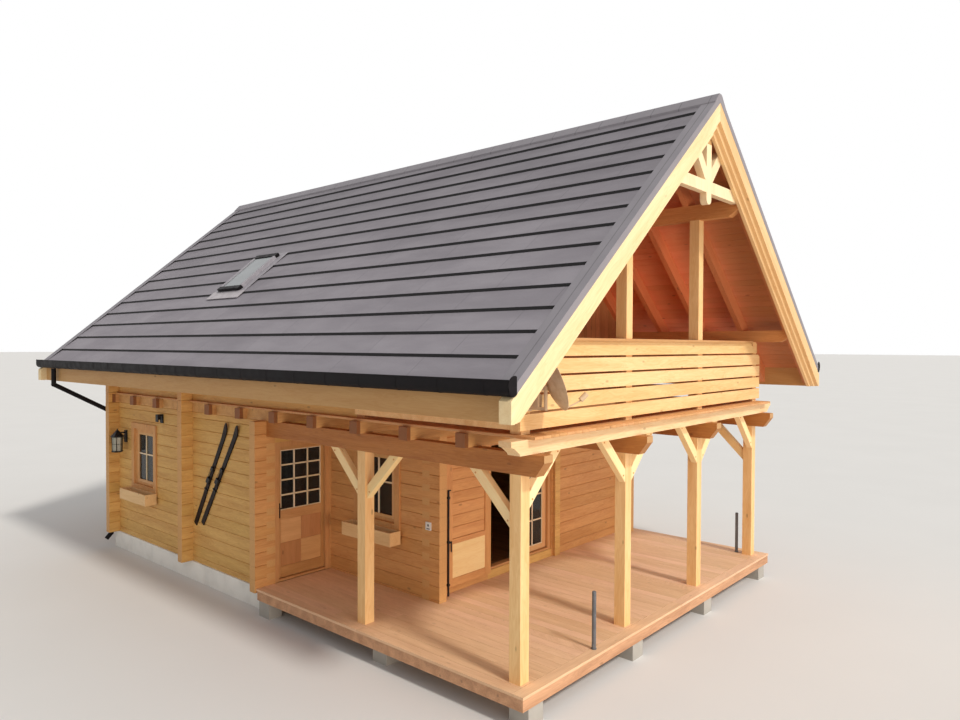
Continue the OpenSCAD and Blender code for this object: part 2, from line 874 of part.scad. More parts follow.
module window_frames() {
    color("burlywood") site() {
        all_windows() window_frame();
        all_windows() window_trim();
        translate([balcony_door_x, porch_d, 0])
            border(balcony_door_w, balcony_door_h, upper_z, frame_w, 20, 90);
    }
}

module window_glass() {
    color("lightblue") site() {
        all_windows() window_pane();
        translate([balcony_door_x, porch_d, 0]) block([frame_w, balcony_door_w - frame_w], [45, 65],
            [upper_z + frame_w, upper_z + balcony_door_h - frame_w]);
    }
}

// Doors. Each hinge axis stands in the middle of the gap, a little inside the leaf's inner face
frame_y = 20;
stop_w = 18;
threshold_h = 30;
knuckle_r = 9;
knuckle_h = 50;
axis_in = knuckle_r + 1;
axis_y = wall_t - frame_y + axis_in;
leaf_y0 = wall_t - frame_y - leaf_t;
leaf_z0 = deck_h + threshold_h + door_gap;
patio_frame_z = patio_sill_z + seat;
patio_leaf_z = patio_frame_z + threshold_h + door_gap;
leaf_z1 = door_z - frame_w - door_gap;
entrance_stile = 65;
patio_stile = 100;
meeting_gap = 12;
entrance_leaf_w = entrance_w - 2 * frame_w - 2 * door_gap;
patio_leaf_w = (patio_w - 2 * frame_w - 2 * door_gap - meeting_gap) / 2;
entrance_panel_h = 1030;
patio_panel_h = 240;
entrance_glass_z = deck_h + entrance_panel_h;
patio_glass_z = deck_h + patio_panel_h;
handle_up = 1050;
hinge_zs = [leaf_z0 + 150, leaf_z1 - 250];
entrance_axis = [entrance_x + entrance_w - frame_w - door_gap / 2, recess_d + axis_y, 0];
patio_left_axis = [patio_x + frame_w + door_gap / 2, porch_d + axis_y, 0];
patio_right_axis = [patio_x + patio_w - frame_w - door_gap / 2, porch_d + axis_y, 0];

// Frame with jambs, head and a stop on the outer side, and a threshold
module door_frame(w, z0) {
    difference() {
        block([0, w], [frame_y, wall_t - frame_y], [z0, door_z - seat]);
        block([frame_w + stop_w, w - frame_w - stop_w], [frame_y - 1, wall_t],
            [z0 + threshold_h, door_z - frame_w - stop_w]);
        block([frame_w, w - frame_w], [leaf_y0 - door_gap, wall_t], [z0 + threshold_h, door_z - frame_w]);
    }
}

// Lower half of each hinge, drawn round its axis with the leaf to the right
module hinge_half(dir, z0) {
    cylinder_z = [z0, z0 + knuckle_h - seat];
    translate([0, 0, z0]) cylinder(r = knuckle_r, h = knuckle_h - seat, $fn = 32);
    block([min(0, dir * 30), max(0, dir * 30)], [-axis_in - 2, -axis_in + 5], cylinder_z);
}

module frame_knuckles(dir) { for (z = hinge_zs) hinge_half(-dir, z); }

module door_frames() {
    color("peru") site() {
        translate([entrance_x, recess_d, 0]) door_frame(entrance_w, deck_h);
        translate([patio_x, porch_d, 0]) door_frame(patio_w, patio_frame_z);
        translate(entrance_axis) frame_knuckles(-1);
        translate(patio_left_axis) frame_knuckles(1);
        translate(patio_right_axis) frame_knuckles(-1);
    }
}

// Closed leaf drawn from its hinge axis towards +X, with a glazed upper field
module leaf_board(w, z0, glass_z, edge) {
    translate([door_gap / 2, -axis_in - leaf_t, 0]) difference() {
        block([0, w], [0, leaf_t], [z0, leaf_z1]);
        block([edge, w - edge], [-1, leaf_t + 1], [glass_z, leaf_z1 - edge]);
    }
    for (z = hinge_zs) hinge_half(1, z + knuckle_h);
    translate([door_gap / 2 + w - edge / 2, -axis_in - leaf_t, deck_h + handle_up]) {
        block([-18, 18], [-8, 0], [-130, 90]);
        translate([0, 0, 20]) rotate([90, 0, 0]) cylinder(r = 10, h = 50, $fn = 24);
        block([-110, 10], [-58, -42], [10, 30]);
    }
}

module leaf_pane(w, glass_z, edge) {
    translate([door_gap / 2, -axis_in - leaf_t, 0]) {
        block([edge, w - edge], [20, 38], [glass_z, leaf_z1 - edge]);
    }
}

module entrance_leaf() {
    color("peru") site() translate(entrance_axis) mirror([1, 0, 0])
        leaf_board(entrance_leaf_w, leaf_z0, entrance_glass_z, entrance_stile);
}

module entrance_glass() {
    color("lightblue") site() translate(entrance_axis) mirror([1, 0, 0])
        leaf_pane(entrance_leaf_w, entrance_glass_z, entrance_stile);
}

// The left patio leaf stands open, square to the wall
module patio_left_leaf() {
    color("peru") site() translate(patio_left_axis) rotate([0, 0, 90])
        leaf_board(patio_leaf_w, patio_leaf_z, patio_glass_z, patio_stile);
}

module patio_left_glass() {
    color("lightblue") site() translate(patio_left_axis) rotate([0, 0, 90])
        leaf_pane(patio_leaf_w, patio_glass_z, patio_stile);
}

module patio_right_leaf() {
    color("peru") site() translate(patio_right_axis) mirror([1, 0, 0])
        leaf_board(patio_leaf_w, patio_leaf_z, patio_glass_z, patio_stile);
}

module patio_right_glass() {
    color("lightblue") site() translate(patio_right_axis) mirror([1, 0, 0])
        leaf_pane(patio_leaf_w, patio_glass_z, patio_stile);
}

shutter_t = 95;
shutter_in = 90;
shutter_off = 45;
shutter_stile = 130;
shutter_panel_h = 710;
shutter_rail_z = deck_h + shutter_panel_h;
shutter_rail_h = 70;
shutter_joint = 6;
bolt_r = 14;
bolt_l = 1460;

// Shutter of two leaves folded together, with its bolt rod and lever
module patio_shutter() {
    x0 = recess_w + wall_t + shutter_in;
    x1 = patio_x - shutter_off;
    y = porch_d - shutter_t;
    joint_y = porch_d - shutter_t / 2;
    bolt_z = deck_h + 20;
    guide = bolt_r + 5;
    color("peru") site() {
        difference() {
            block([x0, x1], [y, porch_d], [patio_sill_z, door_z]);
            block([x0 + shutter_stile, x1 - shutter_stile], [y - 1, y + 14],
                [shutter_rail_z + shutter_rail_h, door_z - shutter_stile]);
            for (x = [x0, x1]) block([x - shutter_joint, x + shutter_joint],
                [joint_y - shutter_joint / 2, joint_y + shutter_joint / 2], [patio_sill_z - 1, door_z + 1]);
        }
        translate([x0 + 25, y - bolt_r - 3, bolt_z]) {
            cylinder(r = bolt_r, h = bolt_l, $fn = 24);
            for (z = [140, bolt_l / 2, bolt_l - 120]) block([-guide, guide], [-guide, guide], [z, z + 30]);
            block([0, 60], [-14, -4], [bolt_l / 2 - 6, bolt_l / 2 + 18]);
            block([42, 60], [-14, -4], [bolt_l / 2 - 130, bolt_l / 2 + 18]);
            block([0, 45], [-7, 7], [bolt_l - 14, bolt_l]);
        }
    }
}

flower_box_h = 190;
flower_box_d = 200;
flower_box_t = 18;
flower_box_side = 130;
flower_box_down = 250;

module flower_box() {
    w = $w + 2 * flower_box_side;
    t = flower_box_t;
    translate([-flower_box_side, -trim_t, $z - flower_box_down]) difference() {
        block([0, w], [-flower_box_d, 0], [0, flower_box_h]);
        block([t, w - t], [t - flower_box_d, -t], [t, flower_box_h + 1]);
    }
}

module flower_boxes() {
    color("burlywood") site() {
        windows("west") flower_box();
        windows("recess") flower_box();
    }
}

lantern_in = 450;
lantern_up = 1480;
lamp_in = 1900;
lamp_up = 2110;
lantern_y = house_l - lantern_in;
lantern_z = deck_h + lantern_up;
lantern_h = 300;
lantern_r = 100;
lantern_off = 165;
lamp_y = house_l - lamp_in;
lamp_z = deck_h + lamp_up;

// Wall lantern with four bars round its glass, and a small lamp farther forward
module wall_lamps() {
    color("black") site() {
        translate([0, lantern_y, lantern_z]) {
            block([-24 - seat, -seat], [-50, 50], [lantern_h - 130, lantern_h + 90]);
            block([-lantern_off, -20], [-12, 12], [lantern_h + 40, lantern_h + 66]);
            translate([-lantern_off, 0, 0]) {
                cylinder(r = lantern_r, h = 24, $fn = 48);
                translate([0, 0, lantern_h - 20]) cylinder(r1 = lantern_r + 18, r2 = 14, h = 150, $fn = 48);
                for (a = [45:90:315]) rotate([0, 0, a]) {
                    translate([lantern_r - 14, 0, 12]) cylinder(r = 9, h = lantern_h - 24, $fn = 16);
                }
                cylinder(r = 34, h = lantern_h, $fn = 32);
            }
        }
        translate([0, lamp_y, lamp_z]) {
            block([-20 - seat, -seat], [-50, 50], [0, 150]);
            block([-100, -19], [-45, 45], [110, 150]);
            block([-100, -70], [-45, 45], [20, 111]);
        }
    }
}

// Roof window on the west slope
skylight_y = 6080;
skylight_w = 660;
skylight_l = 980;
skylight_s = 2580;

module skylight() {
    color("dimgray") site() {
        a0 = skylight_s * cos(pitch);
        a1 = (skylight_s + skylight_l) * cos(pitch);
        difference() {
            slope_band(-1, -60, 0, a0, a1, skylight_y, skylight_y + skylight_w);
            slope_band(-1, -70, -35, a0 + 60, a1 - 60, skylight_y + 60, skylight_y + skylight_w - 60);
        }
    }
}

// Dish on a pole held by the balcony railing, its bowl turned away from the entrance side
dish_r = 300;
dish_depth = 75;
dish_t = 4;
dish_tilt = 20;
dish_turn = -37;
dish_up = 27;
dish_top = (upper_z + knee_z) / 2 + dish_up;

function bowl(r) = dish_depth * pow(r / dish_r, 2);

module dish_bowl() {
    rs = [for (k = [0:6]) k * dish_r / 6];
    rotate_extrude($fn = 64) polygon(concat([for (r = rs) [r, bowl(r)]],
        [for (k = [6:-1:0]) [rs[k], bowl(rs[k]) - dish_t]]));
}

module satellite_dish() {
    x = 60;
    y = -260;
    low = rail_z + 215;
    color("lightgray") site() {
        block([0, 2 * x], [-rail_board_t - seat - 8, -rail_board_t - seat], [low - 20, low + 140]);
        block([x - 15, x + 15], [y, -rail_board_t - 4], [low, low + 30]);
        translate([x, y, low]) cylinder(r = 18, h = dish_top - low - 10, $fn = 32);
        along_y(-190, -90) {
            translate([x - 40, low + 25]) square([70, 105]);
            translate([x - 5, low + 130]) circle(r = 35, $fn = 32);
        }
        block([x - 30, x + 18], [y - 15, y + 25], [dish_top - 54, dish_top - 4]);
        translate([x + 14, y - 18, dish_top]) rotate([0, 90 - dish_tilt, dish_turn]) {
            dish_bowl();
            translate([dish_r - 12, 0, bowl(dish_r - 12) - 2]) rotate([0, -6, 0])
                cylinder(r = 8, h = 235, $fn = 24);
            translate([dish_r - 38, 0, dish_depth + 190]) rotate([0, -25, 0])
                cylinder(r = 28, h = 90, $fn = 32);
        }
    }
}

ski_w = 94;
ski_t = 18;
ski_l = 2000;

// Ski drawn upright: tapered blade with a pointed tip and a binding
module ski(foot, lean) {
    translate([0, foot[0], foot[1]]) rotate([lean, 0, 0]) {
        translate([-ski_t - seat, 0, 0]) along_x(0, ski_t) polygon([[-ski_w / 2, 0], [ski_w / 2, 0],
            [ski_w / 2 - 7, ski_l / 2], [ski_w / 2 + 3, ski_l - 160],
            [ski_w / 2 - 16, ski_l - 50], [0, ski_l],
            [16 - ski_w / 2, ski_l - 50], [-ski_w / 2 - 3, ski_l - 160], [7 - ski_w / 2, ski_l / 2]]);
        block([-ski_t - seat - 40, -ski_t - seat + 1], [-40, 40], [ski_l / 2 - 160, ski_l / 2 - 60]);
        block([-ski_t - seat - 30, -ski_t - seat + 1], [-32, 32], [ski_l / 2 + 90, ski_l / 2 + 150]);
    }
}

module skis() {
    color("black") site() {
        ski([cross_y - 105, deck_h + 560], 31);
        ski([cross_y - 335, deck_h + 600], 34);
    }
}

bollard_r = 32;
bollard_h = 665;

module bollards() {
    color("gray") site() for (p = [[recess_w + 150, -66], [house_w - 90, 260]]) {
        translate([p[0], p[1], deck_h]) cylinder(r = bollard_r, h = bollard_h, $fn = 32);
    }
}

plinth();
ground_floor();
side_walls();
back_wall();
front_walls();
window_wall();
door_heads_and_sill();
cross_wall_ends();
floor_joists();
upper_floor();
knee_walls();
gable_walls();
purlins();
rafters();
roof_boarding();
roof_covering();
roof_trims();
verge_and_eaves_boards();
gutters();
downpipes();
gable_truss();
posts();
porch_beams();
front_beam();
braces();
railing();
deck_boards();
deck_frame();
deck_piers();
door_frames();
entrance_leaf();
entrance_glass();
patio_left_leaf();
patio_left_glass();
patio_right_leaf();
patio_right_glass();
patio_shutter();
window_frames();
window_glass();
flower_boxes();
wall_lamps();
skylight();
satellite_dish();
skis();
bollards();
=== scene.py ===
# Alpine chalet: finishes, small parts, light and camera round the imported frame
import bpy
import math
import random
from mathutils import Matrix, Vector

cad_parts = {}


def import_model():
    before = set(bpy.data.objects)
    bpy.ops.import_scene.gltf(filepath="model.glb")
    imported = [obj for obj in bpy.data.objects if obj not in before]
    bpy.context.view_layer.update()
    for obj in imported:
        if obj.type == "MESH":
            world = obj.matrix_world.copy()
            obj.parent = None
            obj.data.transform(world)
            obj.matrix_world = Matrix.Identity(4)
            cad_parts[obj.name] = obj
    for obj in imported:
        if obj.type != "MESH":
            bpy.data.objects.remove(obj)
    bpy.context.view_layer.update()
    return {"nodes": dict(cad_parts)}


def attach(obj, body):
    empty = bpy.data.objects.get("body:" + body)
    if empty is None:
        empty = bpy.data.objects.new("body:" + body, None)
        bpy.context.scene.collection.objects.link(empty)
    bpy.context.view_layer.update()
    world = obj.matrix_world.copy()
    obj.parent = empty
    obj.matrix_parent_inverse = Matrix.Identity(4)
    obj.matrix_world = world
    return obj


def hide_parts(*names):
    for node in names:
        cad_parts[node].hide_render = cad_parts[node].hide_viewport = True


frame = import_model()
rnd = random.Random(11)
SCENE = bpy.context.scene

# Sizes of the construction, in millimetres from the west face, the porch posts and the ground
HOUSE_W, HOUSE_L, PORCH_D, RECESS_W, RECESS_D, WALL_T = 6320, 9750, 2450, 1130, 4620, 140
PLINTH_H, DECK_H, JOIST_Z, FLOOR_Z, UPPER_Z = 300, 365, 2740, 2895, 2925
LOG_COURSES, LOG_OVER = 13, 190
LOG_H = (JOIST_Z - PLINTH_H) / LOG_COURSES
RIDGE, EAVE, HALF, Y_FRONT, Y_BACK = 7000, 3511, 4110, -695, 10678
ROOF_COURSES = 15
MID, Y_MID = HOUSE_W / 2, (Y_FRONT + Y_BACK) / 2
PITCH = math.atan((RIDGE - EAVE) / HALF)
SIN, COS = math.sin(PITCH), math.cos(PITCH)
POST = 145
POSTS = [0, 2076, 4099, HOUSE_W - POST]
DOOR_Z = DECK_H + 2050
CROSS_Y, PATIO_X, PATIO_W = RECESS_D + 2160, 2350, 1600
BEAM_Z, SIDE_POST_Y = DECK_H + 2150, 2435
WINDOW_W, WINDOW_H = 850, 1020
# How far the deck stands out, and the number of boards across the deck and across the upper floor
DECK_OVER, BOARDS = 175, 46
# Depth under the roof's surface where the upper log ends stop
LOG_STOP = 270.5
# Gap left to the solid that a piece lies on
GAP = 0.3
# In metres from the middle: inner side of the verge boards, and start of the joists' outer ends
VERGE_Y, JOIST_TIP_X = 5.549, 3.215
# Spacing of the railing's boards, in metres
RAIL_PITCH = 0.187


def world(p):
    return Vector(((p[0] - MID) / 1000, (p[1] - Y_MID) / 1000, p[2] / 1000))


def on_slope(side, t, d, y):
    """Point at t down a slope from the ridge and d square to it."""
    return (MID + side * (t * COS - d * SIN), y, RIDGE - t * SIN - d * COS)


def tone(r, g, b):
    """Linear colour from the 0..255 values of a picture."""
    f = lambda c: c / 12.92 if c <= 0.04045 else ((c + 0.055) / 1.055) ** 2.4
    return (f(r / 255), f(g / 255), f(b / 255), 1.0)


# Materials
class Net:
    """A material's nodes, built by short calls."""

    def __init__(self, name):
        self.m = bpy.data.materials.new(name)
        self.m.use_nodes = True
        self.n = self.m.node_tree.nodes
        self.l = self.m.node_tree.links
        self.n.clear()
        out = self.n.new("ShaderNodeOutputMaterial")
        self.b = self.n.new("ShaderNodeBsdfPrincipled")
        self.l.new(self.b.outputs[0], out.inputs[0])

    def put(self, socket, value):
        if isinstance(value, bpy.types.NodeSocket):
            self.l.new(value, socket)
        else:
            socket.default_value = value

    def coords(self, kind):
        if kind == "object":
            return self.n.new("ShaderNodeTexCoord").outputs["Object"]
        a = self.n.new("ShaderNodeAttribute")
        a.attribute_name = kind
        return a.outputs["Vector"]

    def value(self, name):
        a = self.n.new("ShaderNodeAttribute")
        a.attribute_name = name
        return a.outputs["Fac"]

    def op(self, kind, a, b=0.0, c=0.0, clamp=False):
        x = self.n.new("ShaderNodeMath")
        x.operation, x.use_clamp = kind, clamp
        for k, v in enumerate((a, b, c)):
            self.put(x.inputs[k], v)
        return x.outputs[0]

    def sep(self, v):
        x = self.n.new("ShaderNodeSeparateXYZ")
        self.put(x.inputs[0], v)
        return list(x.outputs)

    def comb(self, x, y, z):
        c = self.n.new("ShaderNodeCombineXYZ")
        for k, v in enumerate((x, y, z)):
            self.put(c.inputs[k], v)
        return c.outputs[0]

    def noise(self, v, scale=1.0, detail=3.0, rough=0.55, warp=0.0):
        x = self.n.new("ShaderNodeTexNoise")
        for k, s in (("Vector", v), ("Scale", scale), ("Detail", detail), ("Roughness", rough), ("Distortion", warp)):
            self.put(x.inputs[k], s)
        return x.outputs["Fac"]

    def white(self, w):
        x = self.n.new("ShaderNodeTexWhiteNoise")
        x.noise_dimensions = "1D"
        self.put(x.inputs["W"], w)
        return x.outputs["Value"]

    def cells(self, v, scale):
        x = self.n.new("ShaderNodeTexVoronoi")
        self.put(x.inputs["Vector"], v)
        self.put(x.inputs["Scale"], scale)
        return x.outputs["Distance"]

    def ramp(self, v, a, b, c=0.0, d=1.0):
        x = self.n.new("ShaderNodeMapRange")
        x.interpolation_type = "SMOOTHSTEP"
        for k, s in enumerate((v, a, b, c, d)):
            self.put(x.inputs[k], s)
        return x.outputs[0]

    def mix(self, f, a, b, kind="MIX"):
        x = self.n.new("ShaderNodeMix")
        x.data_type, x.blend_type = "RGBA", kind
        self.put(x.inputs[0], f)
        self.put(x.inputs[6], a)
        self.put(x.inputs[7], b)
        return x.outputs[2]

    def normal(self):
        return self.n.new("ShaderNodeNewGeometry").outputs["Normal"]

    def finish(self, colour, rough, height=None, strength=0.3, depth=0.003, **fixed):
        self.put(self.b.inputs["Base Color"], colour)
        self.put(self.b.inputs["Roughness"], rough)
        if height is not None:
            x = self.n.new("ShaderNodeBump")
            x.inputs["Strength"].default_value = strength
            x.inputs["Distance"].default_value = depth
            self.put(x.inputs["Height"], height)
            self.l.new(x.outputs[0], self.b.inputs["Normal"])
        for k, v in fixed.items():
            self.b.inputs[k.replace("_", " ")].default_value = v
        return self.m


def wood(name, light, dark, axis=1, src="object", vary=0.09, rough=0.62, knots=1.0, rows=None, joint=0.0,
         ends=None, contrast=1.0, groove=(70, 42, 24), tips=None, over=None, eaves=None,
         outer=None, east=None):
    """Softwood with its grain along an axis. rows = (axis, origin, pitch) are boards or logs with their own tone.
    joint is the half width of the dark line between them and ends the colour of end grain. Axis "slope" runs
    down both roof slopes, and "verge" does so at the two verges and along the eaves between them. tips paints
    shade on the log ends beyond a distance, over tints what lies above a height, and eaves paints shade on the
    boards along the eaves. outer paints shade on the wood of the front overhang, darker towards its front, and
    east paints shade and warm bounce light on the eastern verge boards."""
    n = Net(name)
    p = n.coords(src)
    x, y, z = n.sep(p)
    lines = shade = None
    if rows:
        r = n.op("DIVIDE", n.op("SUBTRACT", (x, y, z)[rows[0]], rows[1]), rows[2])
        k = n.op("FLOOR", r)
        shade = n.white(k)
        shift = n.op("MULTIPLY", shade, 37.0)
        p = n.comb(n.op("ADD", x, shift), n.op("ADD", y, shift), n.op("ADD", z, shift))
        if joint:
            f = n.op("SUBTRACT", r, k)
            near = n.op("MINIMUM", f, n.op("SUBTRACT", 1.0, f))
            lines = n.ramp(n.op("MULTIPLY", near, rows[2]), joint * 0.35, joint, 1.0, 0.0)
    if src != "object":
        shade = n.value("shade")
    if axis in ("slope", "verge"):
        ax = n.op("ABSOLUTE", x)
        t = n.op("SUBTRACT", n.op("MULTIPLY", ax, COS), n.op("MULTIPLY", z, SIN))
        c = n.op("ADD", n.op("MULTIPLY", ax, SIN), n.op("MULTIPLY", z, COS))
        if axis == "verge":
            inner = n.op("LESS_THAN", n.op("ABSOLUTE", y), VERGE_Y)
            t, y = (n.op("ADD", n.op("MULTIPLY", inner, a), n.op("MULTIPLY", n.op("SUBTRACT", 1.0, inner), b))
                    for a, b in ((y, t), (t, y)))
        p = n.comb(c, t, y)
        axis = 1
    parts = n.sep(p)

    def grain(along, across):
        return n.comb(*[n.op("MULTIPLY", v, along if k == axis else across) for k, v in enumerate(parts)])

    def tinted(where, tint):
        return n.mix(where, colour, n.mix(1.0, colour, tint, "MULTIPLY"))

    broad = n.noise(grain(0.9, 8.0), 1.0, 3.0, 0.5, 0.5)
    rings = n.op("POWER", n.op("ABSOLUTE", n.op("SINE", n.op("MULTIPLY", broad, 42.0))), 2.5)
    fine = n.noise(grain(5.0, 110.0), 1.0, 2.0, 0.6)
    knot = n.ramp(n.cells(grain(2.2, 5.2), 1.0), 0.05, 0.105, 1.0, 0.0)
    f = n.op("ADD", n.op("MULTIPLY", n.ramp(broad, 0.3, 0.75), 0.5 * contrast),
             n.op("MULTIPLY", rings, 0.22 * contrast))
    f = n.op("ADD", f, n.op("MULTIPLY", n.ramp(fine, 0.35, 0.8), 0.25 * contrast), clamp=True)
    colour = n.mix(f, tone(*light), tone(*dark))
    if shade is not None:
        v = n.op("MULTIPLY_ADD", shade, 2 * vary, 1.0 - vary)
        colour = n.mix(1.0, colour, n.comb(v, v, n.op("MULTIPLY", v, v)), "MULTIPLY")
    if knots:
        brown = tone(*[c * 0.62 for c in dark])
        colour = n.mix(n.op("MULTIPLY", knot, 0.45 * knots), colour, brown)
    if ends:
        a = n.op("ABSOLUTE", n.sep(n.normal())[axis])
        cut = n.mix(n.noise(p, 60.0, 2.0), tone(*ends), tone(*[c * 0.88 for c in ends]))
        colour = n.mix(n.ramp(a, 0.75, 0.9), colour, cut)
    # Painted shade: the ends beyond a distance take a darker colour
    if tips:
        colour = n.mix(n.ramp(n.op("ABSOLUTE", x), tips[0], tips[0] + 0.02), colour, tone(*tips[1]))
    if over:
        colour = tinted(n.op("GREATER_THAN", z, over[0]), over[1])
    # Painted shade on the boards along the eaves
    if eaves:
        colour = tinted(inner, eaves)
    # Painted shade: darker towards the front of the overhang
    if outer:
        colour = tinted(n.ramp(n.sep(n.coords("object"))[1], -5.3, -4.2, 1.0, 0.0), outer)
    # Painted shade and warm bounce light on the eastern verge boards
    if east:
        colour = tinted(n.op("MULTIPLY", n.op("GREATER_THAN", x, 0.0), n.op("SUBTRACT", 1.0, inner)), east)
    if lines is not None:
        colour = n.mix(n.op("MULTIPLY", lines, 0.28), colour, tone(*groove))
    height = n.op("SUBTRACT", n.op("MULTIPLY", fine, 0.5), n.op("MULTIPLY", rings, 0.25))
    if lines is not None:
        height = n.op("SUBTRACT", height, n.op("MULTIPLY", lines, 0.8))
    return n.finish(colour, n.ramp(fine, 0.2, 0.8, rough - 0.08, rough + 0.1), height, 0.35, 0.003)


LIGHT, WARM, GROOVE = (227, 183, 107), (193, 138, 69), (152, 104, 56)
# Log wood under the porch is a darker, redder copy of the logs: painted shade and warm bounce light. END is the end
# grain of all the logs
PORCH_SHADE_PALE, PORCH_SHADE_DARK, END = (220, 164, 100), (191, 129, 71), (224, 170, 106)
# Log walls along Y start with half a log, those along X with a whole one
LOGS_Y = dict(rows=(2, PLINTH_H / 1000 - LOG_H / 2000, LOG_H / 1000), joint=0.004, vary=0.05, groove=GROOVE)
LOGS_X = dict(rows=(2, PLINTH_H / 1000, LOG_H / 1000), joint=0.004, vary=0.05, groove=GROOVE)
MAT = {
    "logs_y": wood("logs_y", LIGHT, WARM, 1, ends=END, **LOGS_Y),
    "logs_x": wood("logs_x", LIGHT, WARM, 0, ends=END, **LOGS_X),
    "porch_y": wood("porch_logs_y_painted_shade", PORCH_SHADE_PALE, PORCH_SHADE_DARK, 1, ends=END, **LOGS_Y),
    "porch_x": wood("porch_logs_x_painted_shade", PORCH_SHADE_PALE, PORCH_SHADE_DARK, 0, ends=END, **LOGS_X),
    # Joists: the outer ends beyond JOIST_TIP_X are painted dark brown as shade under the eaves
    "joists": wood("joists", (224, 176, 112), (188, 132, 74), 0, tips=(JOIST_TIP_X, (142, 90, 50))),
    "posts": wood("post_wood", (250, 210, 150), (228, 174, 108), 2, knots=1.2),
    # Beams along Y: the frame wood, darker and redder with painted shade
    "beams_y": wood("beam_wood_y_painted_shade", (190, 126, 62), (156, 92, 40), 1, ends=(205, 158, 104)),
    "beams_x": wood("beam_wood_x", (246, 216, 168), (226, 182, 126), 0),
    "rail": wood("rail_wood", (248, 208, 148), (224, 172, 106), 0, vary=0.06,
                 rows=(2, (UPPER_Z + 32.5) / 1000, RAIL_PITCH), over=(3.8785, (0.66, 0.54, 0.46, 1.0))),
    # Verge boards: the eaves boards are darkened with painted shade, and the eastern verge boards are darker and more
    # orange with painted shade and warm bounce light
    "verge": wood("verge_wood", (250, 226, 178), (228, 190, 132), "verge", knots=1.2, contrast=0.8,
                  eaves=(0.60, 0.43, 0.28, 1.0), east=(0.88, 0.76, 0.66, 1.0)),
    "truss": wood("truss_wood", (250, 230, 190), (234, 200, 150), 2, contrast=0.7),
    # Rafters, purlins and soffit boards: darker over the front overhang with painted shade. The rafters and soffit
    # boards are also lighter and redder with painted warm bounce light, and the west and east soffit copies differ
    # for the light on each slope
    "slope": wood("rafter_wood", (242, 150, 98), (222, 122, 74), "slope", contrast=0.7, outer=(0.6, 0.66, 0.6, 1.0)),
    "purlins": wood("purlin_wood", (236, 168, 104), (204, 128, 72), 1, ends=(230, 180, 120),
                    outer=(0.8, 0.8, 0.75, 1.0)),
    "soffit_w": wood("soffit_wood_w", (248, 162, 112), (232, 132, 84), 1, src="grain", vary=0.06, contrast=0.6,
                     outer=(0.56, 0.56, 0.42, 1.0)),
    "soffit_e": wood("soffit_wood_e", (253, 164, 116), (244, 138, 92), 1, src="grain", vary=0.06, contrast=0.6,
                     outer=(0.50, 0.50, 0.34, 1.0)),
    "gable": wood("gable_wood", (214, 150, 96), (178, 112, 66), 2, rows=(0, 0.0, 0.14), joint=0.006, vary=0.08),
    "knee": wood("knee_wood", LIGHT, WARM, 1, **LOGS_X),
    "deck": wood("deck_wood", (238, 198, 158), (206, 162, 124), 1, src="grain", vary=0.06, rough=0.7, knots=0.5,
                 contrast=0.8),
    "deck_edge": wood("deck_edge_wood", (216, 166, 126), (166, 118, 84), 0, vary=0.0),
    "floor": wood("floor_wood", (196, 146, 98), (150, 104, 64), 1, rows=(0, 0.0, 0.12), joint=0.003, rough=0.4),
    "ceiling": wood("ceiling_wood", (222, 170, 114), (190, 132, 80), 1, src="grain", vary=0.07),
    "frame": wood("door_frame_wood", (213, 158, 101), (185, 125, 72), 2, contrast=0.8),
    "trim": wood("window_board_wood", (222, 168, 106), (190, 128, 74), 2, contrast=0.8),
    "door": wood("door_wood", (210, 157, 100), (183, 126, 72), 1, src="grain", rough=0.45, contrast=0.9),
    "patio": wood("patio_leaf_wood", (230, 180, 122), (206, 148, 92), 1, src="grain", rough=0.45, contrast=0.7),
    "cream": wood("glazing_bar_wood", (244, 222, 186), (230, 200, 158), 1, src="grain", knots=0.0, contrast=0.4),
    "panel_light": wood("panel_wood_light", (226, 174, 116), (202, 145, 89), 1, src="grain", contrast=0.8),
    "panel_dark": wood("panel_wood_dark", (202, 142, 90), (176, 116, 67), 1, src="grain", contrast=0.8),
    "sash": wood("sash_wood", (228, 178, 118), (198, 140, 84), 1, src="grain", rough=0.45, knots=0.0, contrast=0.6),
    "brace": wood("brace_wood", (254, 226, 168), (244, 204, 140), 1, src="grain", knots=1.2),
    "shutter": wood("shutter_wood", (224, 166, 104), (196, 132, 76), 1, src="grain", vary=0.05),
    # Lower field of the shutter: the shutter wood, paler and yellower with painted sunlight
    "field": wood("shutter_field_painted_sunlight", (252, 222, 162), (234, 190, 124), 1, src="grain", vary=0.03, contrast=0.7),
    "box": wood("box_wood", (242, 202, 146), (216, 170, 112), 1, contrast=0.8),
}


